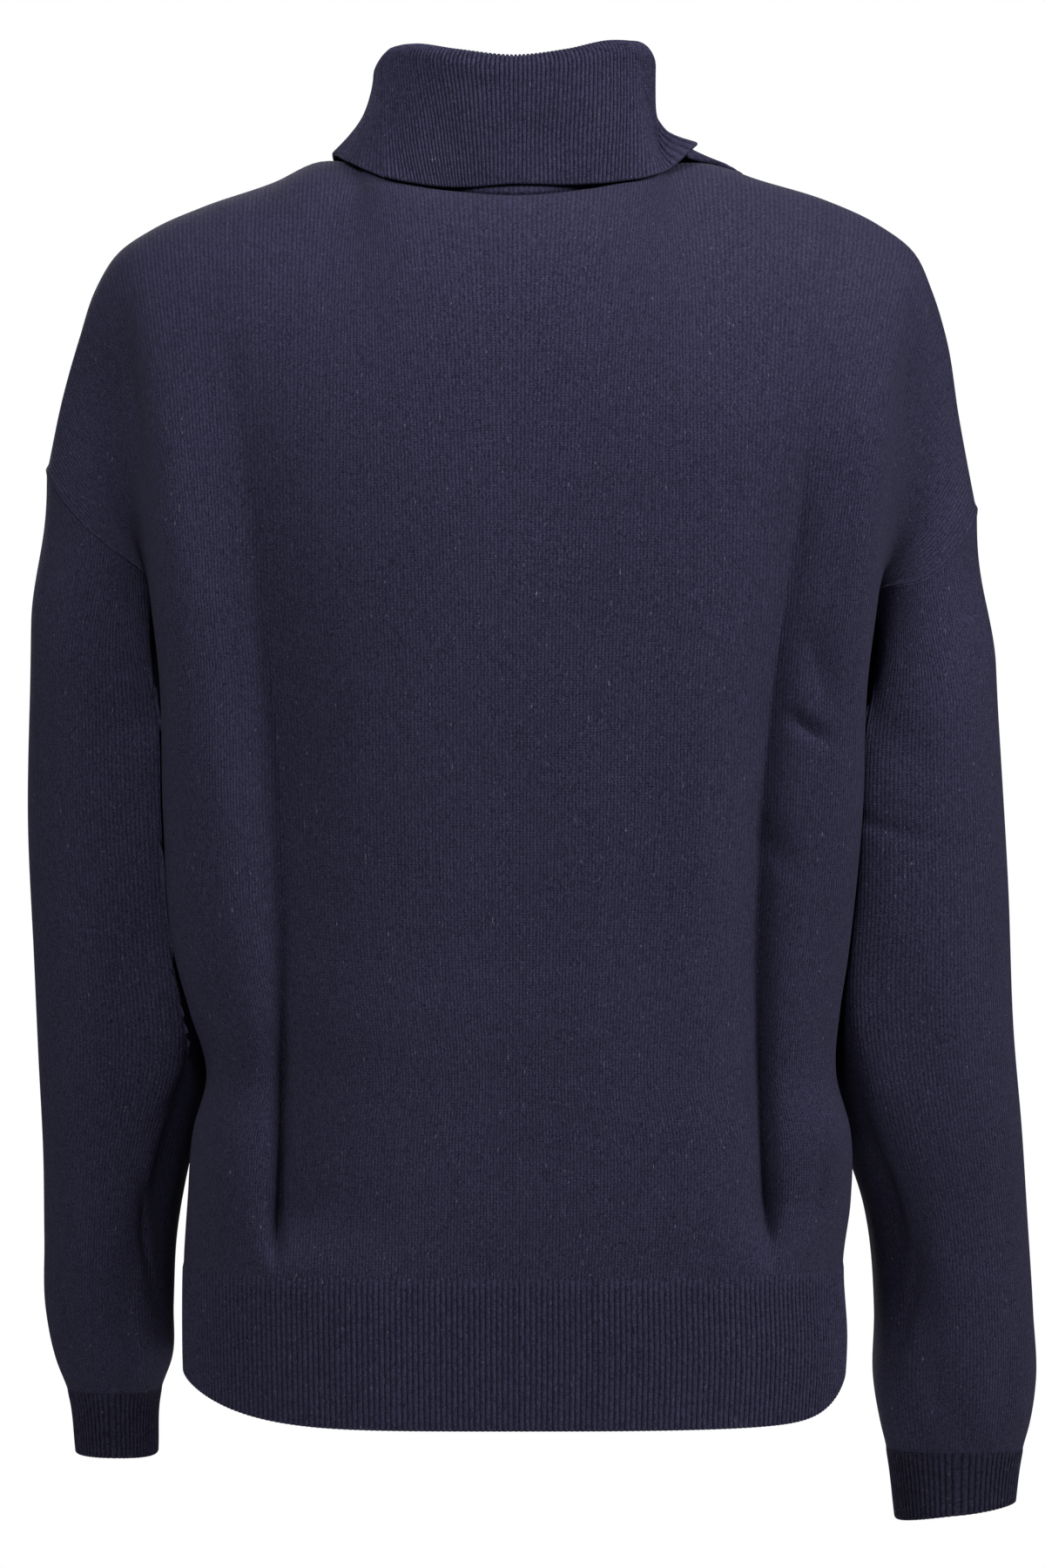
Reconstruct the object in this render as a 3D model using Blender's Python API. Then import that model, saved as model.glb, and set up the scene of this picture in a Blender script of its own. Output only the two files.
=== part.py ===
"""Roll neck sweater with dropped shoulders, filled out as when worn, hollow inside.

Metres, +Z up. The garment's front faces -Y and its back +Y, the wearer's left is +X.
The origin lies between the two ends of the shoulder seams, where the sweater rests
on the wearer. Every piece is a knitted wall: an outer surface worked out from the
named sizes below, and an inner one a wall's thickness behind it.
"""
import math

import bmesh
import bpy
import numpy as np

MM = 0.001

# Cloth and seams.
WALL = 2.0 * MM                  # thickness of the knitted cloth
SEAM_GAP = 0.3 * MM              # room left between two sewn pieces
RIB_RISE = 0.5 * MM              # how far a rib stands over the wall
HEM_RIB_PITCH = 3.0 * MM         # from one rib of the hem to the next
FINE_RIB_PITCH = 2.4 * MM        # the same on the collar and the cuffs

# Body: horizontal sections are superellipses round a line a little forward of the middle.
SIDE_Y = -15 * MM                # where the side seams and the shoulder seams lie
ROUNDNESS = 2.6                  # exponent of the superellipse, 2 is an ellipse
DENT_Y = -24 * MM                # the hanging sleeves press the sides in here
DENT_REACH = 34 * MM
UNDERARM_Z = -222 * MM
HEM_JOIN_Z = -551 * MM           # top of the hem rib
HEM_Z = -625.5 * MM              # its lower edge at the centre back
HEM_RISE = 20 * MM               # how far that edge rises at the side seams
HEM_CURVE = {"left": 5.5, "right": 18}    # how late towards a side it rises, as a power
HEM_GIRTH = {"back": 0.467, "front": 0.433}    # from one side seam to the other

# Neck.
NECK_SHARE = 0.31                # part of half a panel's top edge that is neckline
NECK_X = 76 * MM
NECK_BACK_Y = 64 * MM
NECK_FRONT_Y = -86 * MM
NECK_SIDE_Z = 2 * MM
NECK_BACK_Z = -23 * MM
NECK_FRONT_Z = -58 * MM

# Armholes: the ring where a dropped sleeve is sewn on, from the shoulder's end to the underarm.
ARM_HALF_DEPTH = 60 * MM
RING_EDGE = 0.90                 # from here out a panel's thickness turns to the armhole's
ARM_SHARE = 0.30                 # outer part of a panel that wraps the upper arm
SHOULDER_DRAW = 1.35             # how late a panel narrows over the underarm, as a power
SHOULDER_ROUND = 3               # how late its depth falls off there, as a power

# Body sections from the hem rib up to the underarm, in millimetres. The widths are taken
# from the middle to the left and right sides, the depths from SIDE_Y to the back and front.
BODY_COLUMNS = ("height", "left", "right", "back", "front", "left_dent", "right_dent")
BODY_ROWS = (
    (-626, 166, 166, 115, 88, 1, 1),
    (-590, 167, 168, 117, 90, 1, 1),
    (-551, 169, 169, 119, 92, 5, 4),
    (-520, 168, 175, 124, 97, 8, 8),
    (-485, 163, 176, 126, 98, 7, 9),
    (-458, 156, 169, 127, 98, 5, 6),
    (-425, 165, 170, 128, 98, 10, 8),
    (-397, 173, 175, 128, 98, 14, 11),
    (-330, 179, 183, 129, 98, 18, 16),
    (-258, 181, 186, 130, 98, 16, 16),
    (-222, 185, 189, 131, 98, 12, 12),
)

# The ridge of the shoulders, in millimetres: from the neck out to the sleeve seam.
SHOULDER_COLUMNS = ("left_x", "left_z", "right_x", "right_z")
SHOULDER_ROWS = (
    (76, 2, 76, 2),
    (98, 3, 98, 2),
    (121, -7.3, 124, -6.2),
    (157, -19.6, 158, -16.5),
    (183, -31, 185, -29),
    (201, -43.5, 203, -43),
    (212, -61, 212, -62),
    (220.5, -86, 219.5, -86),
    (229, -116, 226, -126),
    (237, -155, 235, -175),
)

# Sleeve sections, in millimetres: the side away from the body, the side towards it,
# the middle line's depth and the half depth.
SLEEVE_COLUMNS = ("height", "outer", "inner", "middle_y", "half_depth")
SLEEVE_ROWS = {
    "left": (
        (-155, 237, 176, -15, 60),
        (-202, 243, 172, -15, 60),
        (-264, 245, 163, -14, 58),
        (-330, 246, 160, -12, 55),
        (-400, 243, 157, -12, 52),
        (-450, 241, 153, -14, 50),
        (-500, 239, 158, -19, 47),
        (-543, 239, 168, -25, 44),
        (-579, 239, 173, -31, 40),
        (-606, 234, 175, -35, 36),
        (-623, 228, 181, -38, 30),
        (-655, 224, 183, -40, 29),
    ),
    "right": (
        (-175, 235, 176, -15, 60),
        (-224, 242, 172, -15, 60),
        (-278, 245, 165, -14, 58),
        (-366, 250, 162, -12, 54),
        (-437, 253, 162, -14, 51),
        (-490, 258, 169, -19, 48),
        (-527, 261, 178, -24, 46),
        (-581, 265, 184, -31, 42),
        (-617, 267, 184, -36, 38),
        (-640, 264, 188, -39, 32),
        (-652, 261, 191, -41, 28),
        (-689, 256, 196, -43, 26),
    ),
}
SLEEVE_END_Z = {"left": -621 * MM, "right": -652 * MM}
CUFF_END_Z = {"left": -655 * MM, "right": -689 * MM}
CUFF_SLANT = {"left": 1 * MM, "right": 9 * MM}    # its edge is that much higher outside
SLEEVE_ROUNDNESS = 2.2
SLEEVE_CLEARANCE = 2.5 * MM      # between a hanging sleeve and the body
SLEEVE_START = 0.16              # share of its length over which it takes its own section
CLEARANCE_START = 0.05           # share of its length over which it moves clear of the body
SOFT_TOUCH = 3 * MM              # how gently it bends where the body holds it off

FOLD_FADE = 0.4                  # a fold fades where a normal's share of depth is less
FOLD_EDGE = 0.94                 # and past this share of the way out to a side seam

# Long folds, in millimetres. A fold runs through three places, top, middle and bottom, as
# seen from behind or in front. It is a trough, "inner" wide towards the centre and "outer"
# wide towards the side, and deepest at the share "peak" of its length from the top. A fold
# whose depth is negative stands out as a rounded ridge.
FOLD_COLUMNS = ("top_x", "top_z", "middle_x", "middle_z", "bottom_x", "bottom_z",
                "depth", "inner", "outer", "peak")
BACK_FOLDS = (
    (150, -80, 115, -330, 119, -552, 13, 24, 10, 0.80),       # long trough, left
    (-146, -120, -124, -370, -131, -556, 12, 20, 10, 0.82),   # long trough, right
    (162, -170, 142, -400, 146, -556, -8, 16, 22, 0.75),      # rounded side, left
    (-160, -190, -146, -400, -156, -556, -7, 14, 20, 0.75),   # rounded side, right
    (190, -90, 183, -160, 176, -232, 11, 12, 10, 0.72),       # between arm and body, left
    (-196, -92, -188, -160, -181, -232, 11, 12, 10, 0.72),    # between arm and body, right
    (-133, -275, -146, -292, -160, -306, 3, 7, 7, 0.50),      # short crease under the right arm
)
FRONT_FOLDS = (
    (128, -120, 112, -350, 117, -552, 9, 22, 12, 0.78),
    (-126, -140, -116, -340, -121, -554, 8, 24, 12, 0.70),
    (160, -190, 138, -400, 142, -556, -6, 16, 22, 0.70),
    (-160, -190, -142, -400, -146, -556, -6, 14, 20, 0.70),
    (190, -90, 183, -160, 176, -232, 10, 12, 10, 0.72),
    (-196, -92, -188, -160, -181, -232, 10, 12, 10, 0.72),
    (34, -120, 20, -200, 8, -330, 2, 22, 26, 0.40),
)

# Collar: the angle runs from the left side (0) over the back (90) and the right side (180)
# to the front (270). The fold is the middle of the roll along its top, the hem the free edge
# of the layer turned down, in millimetres. The layer falls straight where "flare" is 1, and
# hangs upright and kicks out at its foot where it is more. Over the right shoulder the hem
# makes one short pleat and spreads.
COLLAR_COLUMNS = ("angle", "fold_x", "fold_y", "fold_z", "hem_x", "hem_y", "hem_z", "flare")
COLLAR_ROWS = (
    (0, 63.5, -2, 47, 82, -8, 8, 2.6),
    (20, 60, 17, 50.5, 79.5, 20, 1, 2.5),
    (40, 49, 34, 50, 67, 47, -8.5, 1.7),
    (65, 27, 49, 43, 37, 66, -15, 1.4),
    (90, 0, 54, 39.5, 0, 72, -17, 1.3),
    (115, -26, 50, 45, -34, 67, -16, 1.3),
    (135, -46, 38, 51, -54, 57, -10, 1.4),
    (152, -59, 24, 53, -72, 41, -5, 2.0),
    (163, -63, 12, 54, -82, 25, 0, 6.0),
    (172, -65, 4, 52, -92, 10, 8, 7.0),
    (181, -65, -6, 50, -87, -6, 6, 7.0),
    (190, -64, -14, 47, -102, -20, 2, 5.0),
    (199, -61, -22, 45, -117, -31, -3, 3.6),
    (212, -52, -33, 43, -113, -55, -11, 2.2),
    (235, -34, -48, 40, -81, -89, -42, 1.8),
    (270, 0, -58, 36, 0, -105, -72, 1.5),
    (305, 34, -48, 40, 56, -92, -46, 1.7),
    (330, 54, -32, 43, 82, -58, -9, 1.9),
    (346, 60, -18, 44, 86, -30, 4, 2.0),
)
FOLD_RADIUS = 4.0 * MM           # of the roll along the collar's top
STAND_END = 0.42                 # share of the collar's cloth that stands up from the neck
FALL_START = 0.58                # share from which it comes down outside
COLLAR_GIRTH = 0.43              # round the upper half of its fall

# Mesh density.
PANEL_COLUMNS = 34
CROWD_COLUMNS = ("share", "pull", "reach")   # where panel columns gather, how many, how far
CROWD_ROWS = (
    (0.46, 3.2, 0.060),
    (0.66, 1.6, 0.070),
    (0.86, 2.4, 0.060),
)
LOWER_ROWS = 10
UPPER_ROWS = 11
SLEEVE_COLUMNS_ROUND = 20
SLEEVE_ROWS_LONG = 13
HEM_STRIPS = 1
CUFF_STRIPS = 1
RIB_STEPS = 2                    # columns for each rib: one crest and one groove
INNER_SHARE = 6                  # a ribbed piece has one plain column inside for so many outside

NAVY = (0.030, 0.029, 0.055, 1.0)
RIB_NAVY = (0.027, 0.026, 0.048, 1.0)


def table(columns, rows):
    """A short table as a dictionary of arrays, one for each named column."""
    return dict(zip(columns, np.array(rows, dtype=float).T))


def smooth_curve(at, places, values):
    """Cubic Hermite curve through the values, its slope at each being the mean of its sides."""
    places = np.asarray(places, dtype=float)
    values = np.asarray(values, dtype=float)
    slopes = np.gradient(values, places)
    at = np.clip(at, places[0], places[-1])
    low = np.clip(np.searchsorted(places, at, side="right") - 1, 0, len(places) - 2)
    step = places[low + 1] - places[low]
    share = (at - places[low]) / step
    return (values[low] * (1 + 2 * share) * (1 - share) ** 2
            + slopes[low] * step * share * (1 - share) ** 2
            + values[low + 1] * share ** 2 * (3 - 2 * share)
            + slopes[low + 1] * step * share ** 2 * (share - 1))


def ease(share):
    """A share from 0 to 1 that starts and ends level."""
    share = np.clip(share, 0.0, 1.0)
    return share * share * (3 - 2 * share)


def unit(vectors):
    length = np.linalg.norm(vectors, axis=-1, keepdims=True)
    return vectors / np.maximum(length, 1e-12)


BODY = table(BODY_COLUMNS, BODY_ROWS)
SHOULDER = table(SHOULDER_COLUMNS, SHOULDER_ROWS)
COLLAR = table(COLLAR_COLUMNS, COLLAR_ROWS)


def body_size(name, height):
    """One named size of the body's section at a height."""
    return smooth_curve(height / MM, BODY["height"], BODY[name]) * MM


def body_section(angle, height):
    """Superellipse round the body at a height, pressed in at its sides by the sleeves.

    The angle is 0 at the left seam, pi/2 at the back and pi at the right seam.
    """
    cosine, sine = np.cos(angle), np.sin(angle)
    width = np.where(cosine >= 0, body_size("left", height), body_size("right", height))
    dent = np.where(cosine >= 0, body_size("left_dent", height), body_size("right_dent", height))
    depth = np.where(sine >= 0, body_size("back", height), body_size("front", height))
    power = 2 / ROUNDNESS
    x = width * np.sign(cosine) * np.abs(cosine) ** power
    y = SIDE_Y + depth * np.sign(sine) * np.abs(sine) ** power
    nearness = np.exp(-((y - DENT_Y) / DENT_REACH) ** 2)
    x = x - np.sign(cosine) * dent * nearness * np.abs(cosine) ** 0.2
    return np.stack([x, y, np.broadcast_to(height, x.shape)], axis=-1)


def body_side(y, height, side):
    """How far the body reaches to one side at a depth and a height, as a positive number."""
    depth = np.where(y >= SIDE_Y, body_size("back", height), body_size("front", height))
    share = np.clip(np.abs(y - SIDE_Y) / depth, 0, 1)
    reach = body_size(side, height) * (1 - share ** ROUNDNESS) ** (1 / ROUNDNESS)
    dent = body_size(side + "_dent", height)
    return reach - dent * np.exp(-((y - DENT_Y) / DENT_REACH) ** 2)


def across_to_angle(across, facing):
    """The section angle at a share of the way from the centre, 0, to a side seam, -1 or 1.

    Equal shares are equal lengths of cloth, measured round the section at the underarm.
    """
    turns = np.linspace(0, math.pi, 1201)
    loop = body_section(facing * turns, np.full_like(turns, UNDERARM_Z))
    length = np.concatenate([[0], np.cumsum(np.linalg.norm(np.diff(loop, axis=0), axis=1))])
    middle = np.interp(math.pi / 2, turns, length)
    shares = np.where(length < middle, 1 - length / middle,
                      -(length - middle) / (length[-1] - middle))
    return facing * np.interp(-across, -shares, turns)


def neckline(turn, facing):
    """The sewn neck edge: half an ellipse behind (facing 1) or in front (facing -1).

    The turn is 0 at a shoulder seam and 1 at the centre. The edge dips towards the centre.
    """
    angle = turn * math.pi / 2
    centre_y, centre_z = ((NECK_BACK_Y, NECK_BACK_Z) if facing > 0
                          else (NECK_FRONT_Y, NECK_FRONT_Z))
    x = NECK_X * np.cos(angle)
    y = SIDE_Y + (centre_y - SIDE_Y) * np.sin(angle)
    z = NECK_SIDE_Z + (centre_z - NECK_SIDE_Z) * np.sin(angle) ** 1.5
    return x, y, z


def shoulder_ridge(share, side):
    """A place on the shoulder seam, from the neck, 0, to the sleeve seam, 1."""
    x, z = SHOULDER[side + "_x"], SHOULDER[side + "_z"]
    steps = np.hypot(np.diff(x), np.diff(z))
    length = np.concatenate([[0], np.cumsum(steps)])
    at = share * length[-1]
    return smooth_curve(at, length, x) * MM, smooth_curve(at, length, z) * MM


def top_edge(across, facing):
    """The upper edge of a panel: its neckline, then the shoulder seams out to the sleeves."""
    reach = np.abs(across)
    neck_x, neck_y, neck_z = neckline(np.clip(1 - reach / NECK_SHARE, 0, 1), facing)
    along = np.clip((reach - NECK_SHARE) / (1 - NECK_SHARE), 0, 1)
    left_x, left_z = shoulder_ridge(along, "left")
    right_x, right_z = shoulder_ridge(along, "right")
    on_neck = reach <= NECK_SHARE
    x = np.where(on_neck, neck_x, np.where(across >= 0, left_x, right_x))
    z = np.where(on_neck, neck_z, np.where(across >= 0, left_z, right_z))
    y = np.where(on_neck, neck_y, SIDE_Y)
    return np.stack([np.sign(across) * x, y, z], axis=-1)


def upper_panel(across, rise, facing):
    """The panel over the underarm: the section there is carried up to the top edge.

    The depth falls off as a quarter of a rounded arc, so that the shoulders end in a soft
    ridge, and the outer share of the panel bulges round the upper arm as half an ellipse.
    """
    low = body_section(across_to_angle(across, facing), np.full_like(across, UNDERARM_Z))
    top = top_edge(across, facing)
    x = low[..., 0] + (top[..., 0] - low[..., 0]) * rise ** SHOULDER_DRAW
    z = low[..., 2] + (top[..., 2] - low[..., 2]) * rise
    fullness = np.sqrt(np.clip(1 - rise ** SHOULDER_ROUND, 0, 1))
    arm = np.clip((np.abs(across) - 1 + ARM_SHARE) / ARM_SHARE, 0, 1) ** 2
    y = (top[..., 1] + (low[..., 1] - top[..., 1]) * fullness
         + facing * ARM_HALF_DEPTH * arm * 2 * np.sqrt(np.clip(rise * (1 - rise), 0, 1)))
    return np.stack([x, y, z], axis=-1)


def fold_depth(x, z, folds):
    """The summed depth of all folds at places seen from behind or in front.

    Across, each fold falls off as a bell with its own width on either side. Along, it grows
    from its top to its peak and ends more shortly at its foot.
    """
    total = np.zeros_like(x)
    for row in folds:
        fold = dict(zip(FOLD_COLUMNS, row))
        heights = np.array([fold["bottom_z"], fold["middle_z"], fold["top_z"]]) * MM
        line = np.array([fold["bottom_x"], fold["middle_x"], fold["top_x"]]) * MM
        path = np.polyval(np.polyfit(heights, line, 2), z)
        down = np.clip((heights[2] - z) / (heights[2] - heights[0]), 0, 1)
        along = np.where(down < fold["peak"], ease(down / fold["peak"]),
                         ease((1 - down) / (1 - fold["peak"])))
        outwards = (x - path) * math.copysign(1, fold["middle_x"])
        width = np.where(outwards > 0, fold["outer"], fold["inner"]) * MM
        total += fold["depth"] * MM * along * np.exp(-(outwards / width) ** 2)
    return total


def grid_normals(points, ring=False):
    """Normals of a grid of points, from the differences along its rows and columns."""
    if ring:
        wrapped = np.concatenate([points[:, -1:], points, points[:, :1]], axis=1)
        across = np.gradient(wrapped, axis=1)[:, 1:-1]
    else:
        across = np.gradient(points, axis=1)
    return unit(np.cross(across, np.gradient(points, axis=0)))


def panel_surface(across, facing, lower_rows, upper_rows):
    """A whole panel, a row of places for each height: the body below the underarm, then
    the upper panel to the shoulder and neck, with the long folds pressed into it. The folds
    fade out where the cloth turns to the side, and at the seams.
    """
    heights = np.linspace(HEM_JOIN_Z, UNDERARM_Z, lower_rows + 1)[:-1]
    rises = (1 - np.cos(np.linspace(0, math.pi, upper_rows + 1))) / 2
    sides, levels = np.meshgrid(across, heights)
    lower = body_section(across_to_angle(sides, facing), levels)
    sides, levels = np.meshgrid(across, rises)
    points = np.concatenate([lower, upper_panel(sides, levels, facing)], axis=0)
    folds = BACK_FOLDS if facing > 0 else FRONT_FOLDS
    depth = fold_depth(points[..., 0], points[..., 2], folds)
    reach = np.abs(across)
    normals = outward_normals(points, facing)
    depth[-1] = 0.0
    depth *= 1 - ease((reach - FOLD_EDGE) / (1 - FOLD_EDGE))
    depth *= ease(np.abs(normals[..., 1]) / FOLD_FADE)
    return points - normals * depth[..., None]


def outward_normals(points, facing):
    """Normals of a panel that point away from the wearer."""
    return grid_normals(points) * facing


def panel_columns():
    """Where a panel's columns lie across it, from 1 to -1, closer together near its long
    folds and the bend of its shoulders.

    One column lies at the centre and one at each end of the neckline.
    """
    fine = np.linspace(-1, 1, 2001)
    density = np.ones_like(fine)
    for share, pull, reach in CROWD_ROWS:
        density += pull * np.exp(-((np.abs(fine) - share) / reach) ** 2)
    total = np.cumsum(density)
    total = (total - total[0]) / (total[-1] - total[0])
    across = np.interp(np.linspace(1, 0, PANEL_COLUMNS + 1), total, fine)
    for corner in (NECK_SHARE, 0.0, -NECK_SHARE):
        across[np.argmin(np.abs(across - corner))] = corner
    return across


def armhole_outward(points, side):
    """At the sleeve seam both pieces get their thickness straight towards the arm's middle."""
    top = np.array([SHOULDER[side + "_x"][-1], SIDE_Y / MM, SHOULDER[side + "_z"][-1]]) * MM
    low = np.array([body_side(np.array(SIDE_Y), np.array(UNDERARM_Z), side), SIDE_Y, UNDERARM_Z])
    sign = 1 if side == "left" else -1
    top[0] *= sign
    low[0] *= sign
    axis = unit(np.cross(top - low, [0, sign, 0]))
    spokes = points - (top + low) / 2
    return unit(spokes - (spokes @ axis)[..., None] * axis)


def level(normals, row):
    """Turn the normals of one row level, so that a wall ends square at its seam."""
    normals[row] = unit(normals[row] * [1, 1, 0])


def pull_in(points, inner, rows, columns):
    """Draw the named edges of both surfaces back by half a seam's gap, along the cloth."""
    for surface in (points, inner):
        for row, towards in rows:
            surface[row] += unit(surface[towards] - surface[row]) * SEAM_GAP / 2
        for column, towards in columns:
            step = unit(surface[:, towards] - surface[:, column])
            surface[:, column] += step * SEAM_GAP / 2


def panel_pair():
    """The back and the front, which share the lines of their side and shoulder seams."""
    across = panel_columns()
    outer = {facing: panel_surface(across, facing, LOWER_ROWS, UPPER_ROWS)
             for facing in (1, -1)}
    normals = {facing: outward_normals(outer[facing], facing) for facing in (1, -1)}
    shared = unit(normals[1][:, [0, -1]] + normals[-1][:, [0, -1]])
    for facing in (1, -1):
        normals[facing][:LOWER_ROWS, [0, -1]] = shared[:LOWER_ROWS]
        share = ease((np.abs(across) - RING_EDGE) / (1 - RING_EDGE))[None, :, None]
        for side, half in (("left", across > 0), ("right", across < 0)):
            ring = armhole_outward(outer[facing][LOWER_ROWS:, half], side)
            blend = share[:, half]
            own = normals[facing][LOWER_ROWS:, half]
            normals[facing][LOWER_ROWS:, half] = unit(own * (1 - blend) + ring * blend)
        seam = np.abs(across) >= NECK_SHARE
        ridge = unit(normals[facing][-1, seam] * [1, 0, 1])
        normals[facing][-1, seam] = ridge
        level(normals[facing], 0)
    walls = {}
    for facing in (1, -1):
        inner = outer[facing] - normals[facing] * WALL
        pull_in(outer[facing], inner, [(0, 1), (-1, -2)], [(0, 1), (-1, -2)])
        walls[facing] = (outer[facing], inner)
    return walls


def sleeve_surface(turn, along, side):
    """A sleeve from its seam, along 0, to its cuff, along 1. The turn is 0 at the side away
    from the body, pi/2 behind and pi at the side towards it.

    Its rows start on the slanting ring of the armhole and level out on the way down. Each
    point is on a superellipse of the sleeve's table, eased in from the ring, and is held
    clear of the body's side.
    """
    sign = 1 if side == "left" else -1
    rise = (1 + np.cos(turn)) / 2
    edge = np.full_like(turn, float(sign))
    ring = np.where((np.sin(turn) >= 0)[..., None],
                    upper_panel(edge, rise, 1), upper_panel(edge, rise, -1))
    z = ring[..., 2] * (1 - along) + SLEEVE_END_Z[side] * along
    x, y = sleeve_section(turn, z, side)
    started = ease(along / SLEEVE_START)
    x = np.abs(ring[..., 0]) * (1 - started) + x * started
    y = ring[..., 1] * (1 - started) + y * started
    room = SEAM_GAP + SLEEVE_CLEARANCE * ease(along / CLEARANCE_START)
    wall_x = body_side(y, np.minimum(z, UNDERARM_Z), side) + room
    soft = SOFT_TOUCH * ease(along / (2 * CLEARANCE_START)) + 0.01 * MM
    x = (x + wall_x + np.sqrt((x - wall_x) ** 2 + soft ** 2)) / 2
    return np.stack([sign * x, y, z], axis=-1)


def sleeve_section(turn, z, side):
    """The superellipse of a sleeve or cuff at a height, as distances from the middle."""
    sizes = table(SLEEVE_COLUMNS, SLEEVE_ROWS[side][::-1])
    outer, inner, middle_y, half_depth = (
        smooth_curve(z / MM, sizes["height"], sizes[name]) * MM for name in SLEEVE_COLUMNS[1:])
    cosine, sine = np.cos(turn), np.sin(turn)
    power = 2 / SLEEVE_ROUNDNESS
    x = (outer + inner) / 2 + (outer - inner) / 2 * np.sign(cosine) * np.abs(cosine) ** power
    y = middle_y + half_depth * np.sign(sine) * np.abs(sine) ** power
    return x, y


def sleeve_wall(side):
    """The outer and inner surfaces of a sleeve."""
    turns = np.linspace(0, 2 * math.pi, SLEEVE_COLUMNS_ROUND + 1)[:-1]
    steps = np.linspace(0, 1, SLEEVE_ROWS_LONG + 1) ** 1.15
    turn, along = np.meshgrid(turns, steps)
    outer = sleeve_surface(turn, along, side)
    normals = grid_normals(outer, ring=True) * (-1 if side == "left" else 1)
    normals[0] = armhole_outward(outer[0], side)
    level(normals, -1)
    inner = outer - normals * WALL
    pull_in(outer, inner, [(0, 1), (-1, -2)], [])
    return outer, inner


def rib_wave(steps):
    """Heights of the ribs over the wall: a crest and a groove in turn."""
    return RIB_RISE * (0.5 + 0.5 * np.cos(np.arange(steps) * 2 * math.pi / RIB_STEPS))


def rib_steps(length, pitch):
    """Columns for the ribs on a length of cloth, in whole groups of the plain columns inside."""
    return INNER_SHARE * round(length / pitch * RIB_STEPS / INNER_SHARE)


def cuff_wall(side):
    """A ribbed cuff: a short tube that carries the sleeve's section on down."""
    sizes = table(SLEEVE_COLUMNS, SLEEVE_ROWS[side][::-1])
    across = sizes["outer"][0] - sizes["inner"][0]
    girth = math.pi * (across / 2 + sizes["half_depth"][0]) * MM
    count = rib_steps(girth, FINE_RIB_PITCH)
    top = SLEEVE_END_Z[side] - SEAM_GAP
    sign = 1 if side == "left" else -1

    def surface(columns):
        turn, down = np.meshgrid(np.linspace(0, 2 * math.pi, columns + 1)[:-1],
                                 np.linspace(0, 1, CUFF_STRIPS + 1))
        foot = CUFF_END_Z[side] + CUFF_SLANT[side] * (1 + np.cos(turn)) / 2
        z = top + (foot - top) * down
        x, y = sleeve_section(turn, z, side)
        points = np.stack([sign * x, y, z], axis=-1)
        normals = grid_normals(points, ring=True) * -sign
        level(normals, 0)
        return points, normals

    outer, normals = surface(count)
    outer = outer + normals * rib_wave(count)[None, :, None]
    plain, plain_normals = surface(count // INNER_SHARE)
    return outer, plain - plain_normals * WALL


def hem_wall(facing):
    """Half of the hem rib, behind or in front. Its lower edge rises towards the side seams."""
    count = rib_steps(HEM_GIRTH["back" if facing > 0 else "front"], HEM_RIB_PITCH)

    def surface(columns):
        across, down = np.meshgrid(np.linspace(1, -1, columns + 1),
                                   np.linspace(0, 1, HEM_STRIPS + 1))
        angle = across_to_angle(across, facing)
        edge = body_section(angle, np.full_like(across, HEM_Z))
        width = np.where(edge[..., 0] >= 0, body_size("left", HEM_Z), body_size("right", HEM_Z))
        power = np.where(edge[..., 0] >= 0, HEM_CURVE["left"], HEM_CURVE["right"])
        foot = HEM_Z + HEM_RISE * (np.abs(edge[..., 0]) / width) ** power
        top = HEM_JOIN_Z - SEAM_GAP
        points = body_section(angle, top + (foot - top) * down)
        normals = outward_normals(points, -facing)
        level(normals, 0)
        return points, normals

    outer, normals = surface(count)
    outer = outer + normals * rib_wave(count + 1)[None, :, None]
    plain, plain_normals = surface(count // INNER_SHARE)
    inner = plain - plain_normals * WALL
    pull_in(outer, inner, [], [(0, 1), (-1, -2)])
    return outer, inner


def collar_size(name, angle):
    """One named size of the collar at an angle in radians, closed to a ring."""
    degrees = np.concatenate([COLLAR["angle"] - 360, COLLAR["angle"], COLLAR["angle"] + 360])
    values = np.tile(COLLAR[name], 3)
    return smooth_curve(np.degrees(angle) % 360, degrees, values) * MM


def neck_ring(angle):
    """The neckline at an angle of the collar, on the straight runs between panel columns."""
    turn = np.arcsin(np.clip(np.abs(np.sin(angle)), 0, 1)) / (math.pi / 2)
    across = np.sign(np.cos(angle)) * NECK_SHARE * (1 - turn)
    rings = {}
    columns = panel_columns()[::-1]
    columns = columns[np.abs(columns) <= NECK_SHARE]
    for facing in (1, -1):
        corners = top_edge(columns, facing)
        rings[facing] = np.stack([np.interp(across, columns, corners[:, axis])
                                  for axis in range(3)], axis=-1)
    return np.where((np.sin(angle) >= 0)[..., None], rings[1], rings[-1])


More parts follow.
